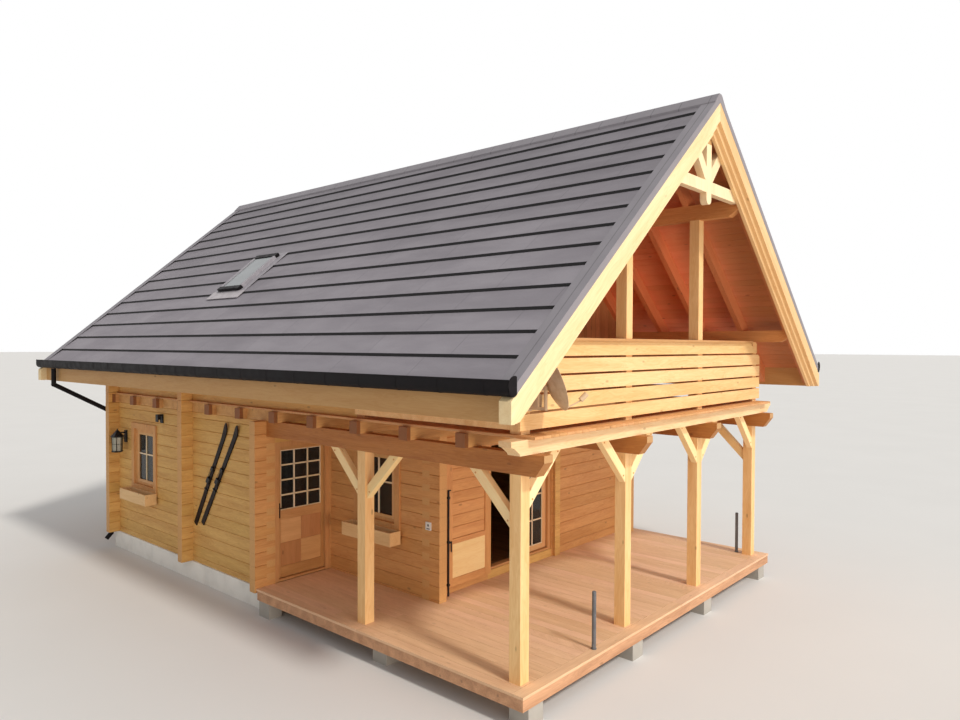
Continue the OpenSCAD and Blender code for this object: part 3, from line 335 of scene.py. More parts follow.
def roof_finish():
    """Grey granules, with painted shade that turns the step of each course near black, a faint joint between panels,
    and darker towards the ridge.
    """
    n = Net("roof_courses")
    p = n.coords("object")
    x, y, z = n.sep(p)
    grit = n.noise(p, 240.0, 2.0, 0.7)
    patch = n.noise(n.comb(n.op("MULTIPLY", x, 1.2), n.op("MULTIPLY", y, 0.35), z), 2.2, 4.0, 0.6)
    t = n.op("DIVIDE", n.op("ABSOLUTE", x), HALF / (1000 * ROOF_COURSES))
    row = n.op("FLOOR", n.op("ADD", t, 0.002))
    panel = n.op("ADD", n.op("DIVIDE", y, 1.25), n.op("MULTIPLY", n.white(row), 0.9))
    own = n.white(n.op("ADD", n.op("FLOOR", panel), n.op("MULTIPLY", row, 17.0)))
    seam = n.op("SUBTRACT", panel, n.op("FLOOR", panel))
    seam = n.ramp(n.op("MINIMUM", seam, n.op("SUBTRACT", 1.0, seam)), 0.001, 0.004, 1.0, 0.0)
    c = n.mix(n.ramp(patch, 0.3, 0.7), tone(137, 132, 139), tone(152, 147, 154))
    v = n.op("MULTIPLY_ADD", own, 0.08, 0.96)
    c = n.mix(1.0, c, n.comb(v, v, v), "MULTIPLY")
    c = n.mix(n.op("MULTIPLY", n.ramp(grit, 0.45, 0.8), 0.35), c, tone(88, 84, 91))
    c = n.mix(n.op("MULTIPLY", seam, 0.5), c, tone(80, 76, 82))
    v = n.ramp(z, 4.4, 7.0, 1.0, 0.74)
    c = n.mix(1.0, c, n.comb(v, v, v), "MULTIPLY")
    # Painted shade: faces steep to the slope, which are the steps of the courses, turn near black
    flat = n.op("ABSOLUTE", n.sep(n.normal())[2])
    c = n.mix(n.ramp(flat, 0.2, 0.5, 1.0, 0.0), c, tone(14, 11, 14))
    return n.finish(c, n.ramp(grit, 0.3, 0.8, 0.72, 0.9), grit, 0.35, 0.002)


def trim_finish(name, a, b, joint=0.0):
    """Coated sheet. joint is the pitch of the laps along the ridge."""
    n = Net(name)
    p = n.coords("object")
    grit = n.noise(p, 200.0, 2.0, 0.7)
    c = n.mix(n.noise(p, 3.0, 3.0), tone(*a), tone(*b))
    c = n.mix(n.op("MULTIPLY", n.ramp(grit, 0.5, 0.8), 0.25), c, tone(*[v * 0.65 for v in a]))
    h = grit
    if joint:
        y = n.op("DIVIDE", n.sep(p)[1], joint)
        f = n.op("SUBTRACT", y, n.op("FLOOR", y))
        lap = n.ramp(f, 0.0, 0.05, 1.0, 0.0)
        c = n.mix(n.op("MULTIPLY", lap, 0.55), c, tone(60, 56, 62))
        h = n.op("SUBTRACT", grit, n.op("MULTIPLY", lap, 2.0))
    return n.finish(c, 0.7, h, 0.3, 0.002)


def metal(name, a, b, rough=0.35, metallic=0.0, scale=9.0, level=0.5):
    """Painted or bare metal in two tones. level is the strength of its reflection."""
    n = Net(name)
    p = n.coords("object")
    w = n.noise(p, scale, 4.0, 0.6)
    c = n.mix(n.ramp(w, 0.35, 0.75), tone(*a), tone(*b))
    return n.finish(c, n.ramp(w, 0.3, 0.8, rough - 0.08, rough + 0.15), n.noise(p, scale * 12, 2.0), 0.1, 0.001,
                    Metallic=metallic, Specular_IOR_Level=level)


def render_finish(name, a, foot):
    """Pale mineral render, greyer and browner towards its foot."""
    n = Net(name)
    p = n.coords("object")
    z = n.sep(p)[2]
    grain = n.noise(p, 90.0, 4.0, 0.7)
    cloud = n.noise(p, 2.4, 4.0, 0.6)
    c = n.mix(n.ramp(cloud, 0.35, 0.75), tone(*a), tone(*[v * 0.94 for v in a]))
    low = n.op("ADD", n.ramp(z, 0.0, 0.16, 1.0, 0.0), n.op("MULTIPLY", n.op("SUBTRACT", cloud, 0.5), 0.6), clamp=True)
    c = n.mix(n.op("MULTIPLY", low, 0.12), c, tone(*foot))
    return n.finish(c, 0.88, grain, 0.5, 0.004)


def glass_finish(name, a, alpha, rough=0.06):
    n = Net(name)
    p = n.coords("object")
    c = n.mix(n.noise(p, 1.4, 2.0), tone(*a), tone(*[v * 0.7 for v in a]))
    return n.finish(c, n.ramp(n.noise(p, 30.0, 2.0), 0.3, 0.8, rough, rough + 0.04), n.noise(p, 3.0, 1.0), 0.04,
                    0.002, Alpha=alpha, IOR=1.5)


MAT.update({
    "roof": roof_finish(),
    "ridge": trim_finish("roof_trim", (132, 128, 134), (148, 144, 150), 0.4),
    "gutter": metal("gutter_coat", (18, 15, 17), (30, 26, 28), 0.55, level=0.12),
    "iron": metal("black_iron", (22, 21, 22), (38, 36, 36), 0.5, level=0.3),
    "grey": metal("grey_paint", (92, 94, 98), (110, 112, 116), 0.5),
    "dish": metal("dish_paint", (212, 184, 150), (192, 160, 124), 0.5),
    "handle": metal("handle_bronze", (34, 29, 26), (54, 46, 40), 0.35, 0.4, level=0.4),
    "white": metal("white_enamel", (236, 236, 232), (222, 222, 218), 0.4),
    "ski": metal("ski_lacquer", (20, 13, 12), (36, 22, 20), 0.45, level=0.14),
    "render": render_finish("plinth_render", (254, 252, 246), (200, 188, 168)),
    "pier": render_finish("pier_concrete", (178, 174, 166), (120, 112, 100)),
    # Window glass is tinted dark and partly opaque: painted shade of the dark rooms behind it
    "glass": glass_finish("window_glass", (40, 44, 46), 0.72),
    "roof_glass": glass_finish("skylight_glass", (142, 148, 152), 1.0, 0.12),
    "lamp_glass": glass_finish("lantern_glass", (214, 216, 196), 0.8, 0.2),
    "lead": metal("flashing_sheet", (146, 142, 148), (160, 156, 162), 0.55),
    "apron": metal("apron_sheet", (186, 180, 184), (172, 166, 170), 0.5),
})

DRESS = {
    "plinth": "render", "ground_floor": "floor", "side_walls": "logs_y", "back_wall": "logs_x",
    "front_walls": "porch_x", "window_wall": "porch_y", "door_heads_and_sill": "logs_x", "cross_wall_ends": "logs_x",
    "floor_joists": "joists", "knee_walls": "knee", "gable_walls": "gable", "purlins": "purlins",
    "rafters": "slope", "roof_covering": "roof", "roof_trims": "ridge", "verge_and_eaves_boards": "verge",
    "downpipes": "gutter", "gable_truss": "truss", "posts": "posts",
    "porch_beams": "beams_y", "front_beam": "beams_x", "railing": "rail", "deck_frame": "deck_edge",
    "deck_piers": "pier", "door_frames": "frame", "entrance_glass": "glass", "patio_left_glass": "glass",
    "patio_right_glass": "glass", "window_frames": "trim", "window_glass": "glass", "flower_boxes": "box",
    "satellite_dish": "dish",
}
for node, key in DRESS.items():
    solid = frame["nodes"][node]
    if len(solid.material_slots) == 0:
        solid.data.materials.append(None)
    for place in solid.material_slots:
        place.link = "OBJECT"
        place.material = MAT[key]


# Pieces
def soften(obj, width, segments, name="edges"):
    """Rounds the sharp edges of a piece, with the width in metres."""
    b = obj.modifiers.new(name, "BEVEL")
    b.width, b.segments, b.limit_method, b.angle_limit = width, segments, "ANGLE", math.radians(35)


class Maker:
    """Collects solids in millimetres, each with its own grain coordinates and shade."""

    def __init__(self):
        self.v, self.f, self.g, self.s = [], [], [], []

    def add(self, points, faces, along, shade=None):
        along = Vector(along).normalized()
        side = along.orthogonal().normalized()
        third = along.cross(side)
        off = Vector([rnd.uniform(0, 40) for _ in range(3)])
        shade = rnd.random() if shade is None else shade
        base = len(self.v)
        for p in points:
            w = world(p)
            self.v.append(w)
            self.g.append(Vector((w.dot(side), w.dot(along), w.dot(third))) + off)
            self.s.append(shade)
        self.f += [[base + k for k in f] for f in faces]

    def prism(self, poly, vec, along, shade=None):
        """A planar polygon of points pushed along a vector."""
        poly, vec = [Vector(p) for p in poly], Vector(vec)
        area = Vector((0, 0, 0))
        for k, p in enumerate(poly):
            area += (p - poly[0]).cross(poly[(k + 1) % len(poly)] - poly[0])
        if area.dot(vec) > 0:
            poly = poly[::-1]
        m = len(poly)
        faces = [list(range(m)), list(range(2 * m - 1, m - 1, -1))]
        faces += [[(k + 1) % m, k, m + k, m + (k + 1) % m] for k in range(m)]
        self.add(poly + [p + vec for p in poly], faces, along, shade)

    def box(self, x, y, z, along, shade=None, move=None):
        poly = [(x[0], y[0], z[0]), (x[1], y[0], z[0]), (x[1], y[1], z[0]), (x[0], y[1], z[0])]
        vec = (0, 0, z[1] - z[0])
        if move:
            poly = [move(p) for p in poly]
            vec = Vector(move((0, 0, z[1] - z[0]))) - Vector(move((0, 0, 0)))
            along = Vector(move(along)) - Vector(move((0, 0, 0)))
        self.prism(poly, vec, along, shade)

    def rod(self, p, q, r, n=16, r2=None, shade=0.5):
        """Round bar or cone between two points."""
        p, q = Vector(p), Vector(q)
        d = (q - p).normalized()
        a = d.orthogonal().normalized()
        b = d.cross(a)
        ring = lambda c, s: [c + (a * math.cos(2 * math.pi * k / n) + b * math.sin(2 * math.pi * k / n)) * s
                             for k in range(n)]
        faces = [list(range(n))[::-1], list(range(n, 2 * n))]
        faces += [[k, (k + 1) % n, n + (k + 1) % n, n + k] for k in range(n)]
        self.add(ring(p, r) + ring(q, r if r2 is None else r2), faces, d, shade)

    def make(self, name, mat, slot, body="house", replaces=(), bevel=3.0, segments=1):
        mesh = bpy.data.meshes.new(name)
        mesh.from_pydata(self.v, [], self.f)
        g = mesh.attributes.new("grain", "FLOAT_VECTOR", "POINT")
        g.data.foreach_set("vector", [c for v in self.g for c in v])
        s = mesh.attributes.new("shade", "FLOAT", "POINT")
        s.data.foreach_set("value", self.s)
        mesh.materials.append(MAT[mat])
        mesh.update()
        o = bpy.data.objects.new(name, mesh)
        SCENE.collection.objects.link(o)
        if bevel:
            soften(o, bevel / 1000, segments)
        if replaces:
            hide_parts(*replaces)
        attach(o, body)
        return o


def cut(obj, boxes):
    """Takes upright boxes, in millimetres, out of a piece, and keeps the result as its mesh."""
    k = Maker()
    for x, y in boxes:
        k.box(x, y, (-500, 9000), (0, 0, 1))
    mesh = bpy.data.meshes.new("cutter")
    mesh.from_pydata(k.v, [], k.f)
    c = bpy.data.objects.new("cutter", mesh)
    SCENE.collection.objects.link(c)
    m = obj.modifiers.new("cut", "BOOLEAN")
    m.operation, m.object, m.solver, m.use_self = "DIFFERENCE", c, "EXACT", True
    bpy.context.view_layer.update()
    keep = [(x.width, x.segments, x.name) for x in obj.modifiers if x.type == "BEVEL"]
    for x in [x for x in obj.modifiers if x.type == "BEVEL"]:
        obj.modifiers.remove(x)
    dg = bpy.context.evaluated_depsgraph_get()
    new = bpy.data.meshes.new_from_object(obj.evaluated_get(dg))
    obj.modifiers.clear()
    old = obj.data
    obj.data = new
    new.name = obj.name
    bpy.data.meshes.remove(old)
    bpy.data.objects.remove(c)
    for edges in keep:
        soften(obj, *edges)


def split(a, b, step, wobble):
    """Lengths between a and b, cut at about every step."""
    pts = [a]
    while pts[-1] + step + wobble < b - step * 0.4:
        pts.append(pts[-1] + step + rnd.uniform(-wobble, wobble))
    pts.append(b)
    return list(zip(pts[:-1], pts[1:]))


def soffit():
    """Boards under the roof covering, along the ridge."""
    t0, t1, count = 61.0, 5396.0, 44
    w = (t1 - t0) / count
    for side, tag in ((-1, "w"), (1, "e")):
        k = Maker()
        for i in range(count):
            a, b = t0 + i * w + 1, t0 + (i + 1) * w - 1
            for y0, y1 in split(Y_FRONT + 3, Y_BACK - 3, 3900, 700):
                poly = [on_slope(side, a, 42, y0), on_slope(side, b, 42, y0), on_slope(side, b, 68, y0),
                        on_slope(side, b - 5, 70, y0), on_slope(side, a + 5, 70, y0), on_slope(side, a, 68, y0)]
                k.prism(poly, (0, y1 - y0 - 1, 0), (0, 1, 0))
        k.make("soffit_boards_" + tag, "soffit_" + tag, "board_wood", replaces=["roof_boarding"], bevel=0)


def ridge_ends():
    """Small sheets that close the verges under the ends of the ridge cap."""
    k = Maker()
    half = [(300, 71.5), (230, -2.5), (150, -13), (35, -31)]
    for y in (Y_FRONT - 2.9, Y_BACK + 1.1):
        k.prism([on_slope(-1, t, d, y) for t, d in half] + [on_slope(1, t, d, y) for t, d in half[::-1]]
                + [(MID, y, RIDGE - 72 / COS)], (0, 1.8, 0), (0, 0, 1), 0.5)
    k.make("verge_sheet_tops", "ridge", "roof_tile", bevel=0)


def gutters():
    """Gutters with a high outer wall, a rolled lip, end plates and straps to the eaves boards."""
    k = Maker()
    r, t, up, za = 65, 3, 74, EAVE - 52.5 - 1
    ca = HALF + r - 17
    arc = [(r * math.cos(math.pi * (1 + i / 20)), r * math.sin(math.pi * (1 + i / 20))) for i in range(21)]
    inner = [(c * (r - t) / r, v * (r - t) / r) for c, v in arc]
    shell = arc + [(r, up)] + [(r - t, up)] + inner[::-1]
    plate = arc + [(r, up), (-r + 30, 30)]
    out_r, in_r = r + 2, r + 0.2
    band = [(c * out_r / r, v * out_r / r) for c, v in arc] + [(out_r, up - 12), (in_r, up - 12)]
    band += [(c * in_r / r, v * in_r / r) for c, v in arc[::-1]]
    cap = [(82 * math.cos(a) - 13, 33 + 82 * math.sin(a)) for a in [math.pi * (i / 16 - 1) for i in range(33)]]
    cap = [(max(c, -ca + HALF + 2), v) for c, v in cap]
    for side in (-1, 1):
        at = lambda c, y, v: (MID + side * (ca + c), y, za + v)

        def strips(line, y, length):
            """Bent sheet: strips between the outer and the inner half of a closed line."""
            for i in range(len(line) // 2 - 1):
                quad = (line[i], line[i + 1], line[-i - 2], line[-i - 1])
                k.prism([at(c, y, v) for c, v in quad], (0, length, 0), (0, 1, 0), 0.5)

        y0, y1 = Y_FRONT, Y_BACK
        strips(shell, y0, y1 - y0)
        k.rod(at(r - 4, y0, up + 2), at(r - 4, y1, up + 2), 7, 12)
        for y in (y0, y1 - 4):
            k.prism([at(c, y, v) for c, v in plate], (0, 4, 0), (0, 0, 1), 0.5)
        k.prism([at(c, y0 - 3, v) for c, v in cap], (0, 2.8, 0), (0, 0, 1), 0.5)
        for i in range(19):
            strips(band, y0 + 280 + i * 560, 25)
    k.make("gutter_runs", "gutter", "gutter_metal", replaces=["gutters"], bevel=0)


def log_ends():
    """Log ends above the joists at the inner cross wall and the back wall, up to the rafters."""
    k = Maker()
    under = lambda x: RIDGE - (MID + x) * SIN / COS - LOG_STOP / COS
    for sx in (-1, 1):
        at = lambda x, y, z: (-x, y, z) if sx < 0 else (HOUSE_W + x, y, z)
        for y0, start in ((CROSS_Y, JOIST_Z + GAP), (HOUSE_L - WALL_T, FLOOR_Z + GAP)):
            for i in range(LOG_COURSES, LOG_COURSES + 7):
                z0, z1 = max(start, PLINTH_H + i * LOG_H), PLINTH_H + (i + 1) * LOG_H - 1
                if z1 <= start or z0 > under(LOG_OVER):
                    continue
                face = [(GAP, z0), (LOG_OVER, z0), (LOG_OVER, min(z1, under(LOG_OVER))), (GAP, min(z1, under(GAP)))]
                if z1 > under(LOG_OVER) and z1 < under(GAP):
                    cross = (RIDGE - LOG_STOP / COS - z1) * COS / SIN - MID
                    face.insert(3, (cross, z1))
                k.prism([at(x, y0, z) for x, z in face], (0, WALL_T, 0), (1, 0, 0))
        tail = ((120.5, JOIST_Z + GAP), (LOG_OVER, JOIST_Z + GAP), (LOG_OVER, FLOOR_Z), (120.5, FLOOR_Z))
        k.prism([at(x, HOUSE_L - WALL_T, z) for x, z in tail], (0, WALL_T, 0), (1, 0, 0))
    k.make("upper_log_ends", "logs_x", "log_wood", bevel=7, segments=2)


def thermometer():
    """Small white thermometer on the end of the front wall, beside the recess."""
    k, d = Maker(), Maker()
    x, y, z = RECESS_W, 2410, 1325
    k.box((x - 14, x - GAP), (y, y + 105), (z, z + 110), (0, 0, 1))
    d.rod((x - 14, y + 52, z + 66), (x - 16, y + 52, z + 66), 17, 24)
    d.box((x - 15.5, x - 13.5), (y + 22, y + 83), (z + 12, z + 27), (0, 1, 0))
    k.make("thermometer_case", "white", "grey_metal", bevel=3, segments=2)
    d.make("thermometer_dial", "grey", "grey_metal", bevel=0.5)


def deck():
    """Deck boards, with a border board in front, fitted round the log ends."""
    k = Maker()
    z = (DECK_H - 30, DECK_H)
    for x0, x1 in split(-DECK_OVER, HOUSE_W + DECK_OVER, 3300, 200):
        k.box((x0 + 1, x1 - 1), (-DECK_OVER, -37), z, (1, 0, 0))
    w = (HOUSE_W + 2 * DECK_OVER) / BOARDS
    for i in range(BOARDS):
        x0, x1 = -DECK_OVER + i * w, -DECK_OVER + (i + 1) * w
        for p, q, end in ((x0, min(x1, RECESS_W), RECESS_D), (max(x0, RECESS_W), x1, PORCH_D)):
            if q - p > 12:
                for y0, y1 in split(-31, end, 3000 if i % 2 else 2300, 300) if end > 3000 else [(-31, end)]:
                    k.box((p + 1.5, q - 1.5), (y0, y1 - 2), z, (0, 1, 0))
    o = k.make("deck_planks", "deck", "deck_wood", replaces=["deck_boards"], bevel=2.5)
    c = 3
    cross = PATIO_X + PATIO_W + 35
    cut(o, [((RECESS_W - c, RECESS_W + WALL_T + c), (PORCH_D - LOG_OVER - c, PORCH_D + 9)),
            ((HOUSE_W - WALL_T - c, HOUSE_W + c), (PORCH_D - LOG_OVER - c, PORCH_D + 9)),
            ((cross - c, cross + WALL_T + c), (PORCH_D - 50 - c, PORCH_D + 9))])


def upper_floor():
    """Boards of the upper floor and balcony, notched round the posts."""
    k = Maker()
    w = (HOUSE_W + 120) / BOARDS
    for i in range(BOARDS):
        x0 = -60 + i * w
        for y0, y1 in split(-220, HOUSE_L, 3800, 600):
            k.box((x0 + 1.5, x0 + w - 1.5), (y0, y1 - 1), (FLOOR_Z, UPPER_Z), (0, 1, 0))
    o = k.make("upper_floor_planks", "ceiling", "board_wood", replaces=["upper_floor"], bevel=3)
    holes = [((x - 1, x + POST + 1), (-1, POST + 1)) for x in POSTS]
    for y in (CROSS_Y, HOUSE_L - WALL_T):
        holes += [(x, (y - 3, y + WALL_T + 3)) for x in ((-70, GAP), (HOUSE_W - GAP, HOUSE_W + 70))]
    cut(o, holes)


def braces():
    """The ten knee braces, each with its grain along its length and two pegs."""
    k, pegs = Maker(), Maker()
    run, c, w, inset = 590, 120 * math.sqrt(2), 90, (POST - 90) / 2
    shape = [(0, -run), (run, 0), (run - c, 0), (0, -run + c)]
    peg_at = ((48, -run + 96), (run - 96, -48))
    front = [(x + POST, 1) for x in POSTS[:3]] + [(x, -1) for x in POSTS[1:]]
    for x, d in front:
        k.prism([(x + d * u, 0, JOIST_Z + v) for u, v in shape], (0, w, 0), (d, 0, 1))
        for u, v in peg_at:
            pegs.rod((x + d * u, 3, JOIST_Z + v), (x + d * u, -5, JOIST_Z + v), 11, 10)
    side = [(POST, 1, inset), (POST, 1, POSTS[3] + inset), (SIDE_POST_Y, -1, inset), (SIDE_POST_Y + POST, 1, inset)]
    for y, d, x in side:
        k.prism([(x, y + d * u, BEAM_Z + v) for u, v in shape], (w, 0, 0), (0, d, 1))
        for u, v in peg_at:
            q = (x + w - 3, x + w + 5) if x > 3000 else (x + 3, x - 5)
            pegs.rod((q[0], y + d * u, BEAM_Z + v), (q[1], y + d * u, BEAM_Z + v), 11, 10)
    k.make("knee_braces", "brace", "frame_wood", replaces=["braces"], bevel=5)
    pegs.make("brace_pegs", "shutter", "frame_wood", bevel=1)


def ring(k, x, z, b, y, move):
    """Four members of a frame round an opening in the x-z plane."""
    k.box((x[0], x[0] + b), y, z, (0, 0, 1), move=move)
    k.box((x[1] - b, x[1]), y, z, (0, 0, 1), move=move)
    k.box((x[0] + b, x[1] - b), y, (z[0], z[0] + b), (1, 0, 0), move=move)
    k.box((x[0] + b, x[1] - b), y, (z[1] - b, z[1]), (1, 0, 0), move=move)


SILL = DECK_H + 920
# Wall, place along it, lower edge, width and height
WINDOWS = [("west", 8930, SILL, 770, WINDOW_H), ("recess", 3930, SILL, 800, WINDOW_H),
           ("east", 4100, SILL, WINDOW_W, WINDOW_H), ("east", 7900, SILL, WINDOW_W, WINDOW_H),
           ("back", 2200, SILL, WINDOW_W, WINDOW_H), ("back", 5000, SILL, WINDOW_W, WINDOW_H),
           ("back", MID + 600, UPPER_Z + 900, 1200, 1000)]


def placed(wall, pos):
    """Moves a point drawn behind the x-z plane into a wall's opening."""
    if wall in ("west", "recess"):
        x = RECESS_W if wall == "recess" else 0
        return lambda p: (x + p[1], pos - p[0], p[2])
    if wall == "east":
        return lambda p: (HOUSE_W - p[1], pos + p[0], p[2])
    return lambda p: (pos - p[0], HOUSE_L - p[1], p[2])


def windows():
    """Sash and glazing bars before each pane, a sill board under each window, and the balcony door's sash."""
    k, bars, sill = Maker(), Maker(), Maker()
    edge, member, back = 60, 46, 44.5
    clear = edge + member
    for wall, pos, z, w, h in WINDOWS:
        m = placed(wall, pos)
        ring(k, (edge, w - edge), (z + edge, z + h - edge), member, (24, back), m)
        bars.box((w / 2 - 14, w / 2 + 14), (30, back), (z + clear, z + h - clear), (0, 0, 1), move=m)
        bars.box((clear, w - clear), (32, back), (z + h * 0.55, z + h * 0.55 + 24), (1, 0, 0), move=m)
        sill.box((4, w - 4), (-38, 26), (z + 2, z + 22), (1, 0, 0), move=m)
    x = MID - 500
    m = lambda p: (x + p[0], PORCH_D + p[1], p[2])
    ring(k, (edge, 940), (UPPER_Z + edge, UPPER_Z + 1940), 70, (24, back), m)
    k.box((130, 870), (30, back), (UPPER_Z + 900, UPPER_Z + 960), (1, 0, 0), move=m)
    k.make("window_sashes", "sash", "frame_wood", bevel=2)
    bars.make("window_bars", "cream", "frame_wood", bevel=1.5)
    sill.make("window_sills", "shutter", "frame_wood", bevel=3)


def leaf(name, node, body, axis_point, mode, width, z0, glass_z, edge, panes, finishes):
    """A door leaf with stiles, rails, glazing bars, lever and hinge plates, and panels where there is room."""
    if mode == "mirror":
        m = lambda p: (axis_point[0] - p[0], axis_point[1] + p[1], p[2])
    else:
        m = lambda p: (axis_point[0] - p[1], axis_point[1] + p[0], p[2])
    k, bars, iron, fields = Maker(), Maker(), Maker(), (Maker(), Maker())
    x0, x1 = 4, 4 + width
    y0, y1 = -68, -10
    z1 = DOOR_Z - 68
    k.box((x0, x0 + edge), (y0, y1), (z0, z1), (0, 0, 1), move=m)
    k.box((x1 - edge, x1), (y0, y1), (z0, z1), (0, 0, 1), move=m)
    k.box((x0 + edge, x1 - edge), (y0, y1), (z1 - edge, z1), (1, 0, 0), move=m)
    if glass_z - z0 < 300:
        k.box((x0 + edge, x1 - edge), (y0, y1), (z0, glass_z), (1, 0, 0), move=m)
    else:
        low, high = z0 + 163, glass_z - 140
        k.box((x0 + edge, x1 - edge), (y0, y1), (z0, low), (1, 0, 0), move=m)
        k.box((x0 + edge, x1 - edge), (y0, y1), (high, glass_z), (1, 0, 0), move=m)
        mid_x, mid_z = (x0 + x1) / 2, (low + high) / 2
        for i, px in enumerate(((x0 + edge, mid_x), (mid_x, x1 - edge))):
            for j, pz in enumerate(((low, mid_z), (mid_z, high))):
                upright = (i + j) % 2
                fields[upright].box((px[0] + 1, px[1] - 1), (y0 + 6, y1 - 6), (pz[0] + 1, pz[1] - 1),
                                    (0, 0, 1) if upright else (1, 0, 0), move=m)
    cols, rows = panes
    gx = [x0 + edge + i * (x1 - x0 - 2 * edge) / cols for i in range(cols + 1)]
    gz = [glass_z + i * (z1 - edge - glass_z) / rows for i in range(rows + 1)]
    for y in ((y0 + 4, y0 + 20), (y0 + 38, y1 - 4)):
        for g in gx[1:-1]:
            bars.box((g - 11, g + 11), y, (gz[0], gz[-1]), (0, 0, 1), move=m)
        for g in gz[1:-1]:
            bars.box((gx[0], gx[-1]), y, (g - 11, g + 11), (1, 0, 0), move=m)
        bars.box((gx[0], gx[0] + 14), y, (gz[0], gz[-1]), (0, 0, 1), move=m)
        bars.box((gx[-1] - 14, gx[-1]), y, (gz[0], gz[-1]), (0, 0, 1), move=m)
        bars.box((gx[0] + 14, gx[-1] - 14), y, (gz[0], gz[0] + 14), (1, 0, 0), move=m)
        bars.box((gx[0] + 14, gx[-1] - 14), y, (gz[-1] - 14, gz[-1]), (1, 0, 0), move=m)
    hx, hz = x1 - edge / 2, DECK_H + 1050
    iron.box((hx - 21, hx + 21), (y0 - 9, y0 + 1), (hz - 130, hz + 90), (0, 0, 1), move=m)
    iron.rod(m((hx, y0, hz + 20)), m((hx, y0 - 50, hz + 20)), 10)
    iron.rod(m((hx + 8, y0 - 50, hz + 20)), m((hx - 108, y0 - 50, hz + 20)), 10)
    iron.rod(m((hx, y0 - 7, hz - 70)), m((hx, y0 - 11, hz - 70)), 9)
    for z in (DECK_H + 188, z1 - 250):
        foot, head = z + 50, z + 99.7
        iron.rod(m((0, 0, foot)), m((0, 0, head)), 9, 20)
        iron.box((0, 30), (-12, -5), (foot, head), (0, 0, 1), move=m)
    k.make(name, finishes[0], "door_wood", body, [node], bevel=3)
    bars.make(name + "_bars", finishes[1], "door_wood", body, [node], bevel=2)
    iron.make(name + "_fittings", "handle", "door_wood", body, [node], bevel=1.5, segments=2)
    for one, tint in zip(fields, ("panel_light", "panel_dark")):
        if one.v:
            one.make(name + "_" + tint, tint, "door_wood", body, [node], bevel=2)


def shutter():
    """Shutter of two folded leaves: stiles, rails, boards over a flat lower field, and its bolt rod."""
    k, iron, back, field = Maker(), Maker(), Maker(), Maker()
    x0, x1 = RECESS_W + WALL_T + 90, PATIO_X - 45
    z0, z1, rail = PLINTH_H + LOG_H, DOOR_Z, DECK_H + 710
    s = 130
    y0, y1 = PORCH_D - 95, PORCH_D - 50.5
    back.box((x0, x1), (y1 + 6, PORCH_D - GAP), (z0, z1), (0, 0, 1), shade=0.4)
    back.box((x0 + 6, x1 - 6), (y1 - 1, y1 + 7), (z0 + 6, z1 - 6), (0, 0, 1), shade=0.1)
    k.box((x0, x0 + s), (y0, y1), (z0, z1), (0, 0, 1))
    k.box((x1 - s, x1), (y0, y1), (z0, z1), (0, 0, 1))
    k.box((x0 + s, x1 - s), (y0, y1), (z1 - s, z1), (1, 0, 0))
    k.box((x0 + s, x1 - s), (y0, y1), (rail, rail + 70), (1, 0, 0))
    k.box((x0 + s, x1 - s), (y0, y1), (z0, z0 + 110), (1, 0, 0))
    # The lower field takes the paler finish, which is painted sunlight
    field.box((x0 + s, x1 - s), (y0 + 3, y1), (z0 + 112, rail - 1), (1, 0, 0), shade=0.6)
    low, high = rail + 70, z1 - s
    n = 7
    h = (high - low) / n
    for i in range(n):
        k.box((x0 + s, x1 - s), (y0 + 14, y1), (low + i * h + 2, low + (i + 1) * h - 2), (1, 0, 0))
    k.box((x0 + s, x1 - s), (y0 + 26, y1), (low, high), (1, 0, 0), shade=0.0)
    x, y, z = x0 + 25, y0 - 17, DECK_H + 20
    iron.rod((x, y, z), (x, y, z + 1460), 14, 20)
    for d in (140, 730, 1340):
        iron.box((x - 19, x + 19), (y - 17, y + 18), (z + d, z + d + 30), (0, 0, 1))
    iron.box((x, x + 60), (y - 14, y - 4), (z + 724, z + 748), (1, 0, 0))
    iron.box((x + 42, x + 60), (y - 14, y - 4), (z + 600, z + 748), (0, 0, 1))
    iron.box((x, x + 45), (y - 7, y + 7), (z + 1446, z + 1460), (1, 0, 0))
    k.make("shutter_front_leaf", "shutter", "door_wood", replaces=["patio_shutter"], bevel=3)
    field.make("shutter_field", "field", "door_wood", replaces=["patio_shutter"], bevel=3)
    back.make("shutter_back_leaf", "shutter", "door_wood", replaces=["patio_shutter"], bevel=3)
    iron.make("shutter_bolt", "iron", "black_iron", replaces=["patio_shutter"], bevel=1.5)


def bollards():
    """Two slim posts on the deck, each with a rounded head and a foot plate."""
    k = Maker()
    for x, y in ((RECESS_W + 150, -66), (HOUSE_W - 90, 260)):
        k.rod((x, y, DECK_H), (x, y, DECK_H + 12), 31, 24)
        k.rod((x, y, DECK_H + 12), (x, y, DECK_H + 648), 24, 24)
        k.rod((x, y, DECK_H + 648), (x, y, DECK_H + 665), 26, 24, 20)
        k.box((x - 30, x - 18), (y - 12, y + 12), (DECK_H + 12, DECK_H + 60), (0, 0, 1))
    k.make("bollard_posts", "grey", "grey_metal", replaces=["bollards"], bevel=1.5, segments=2)


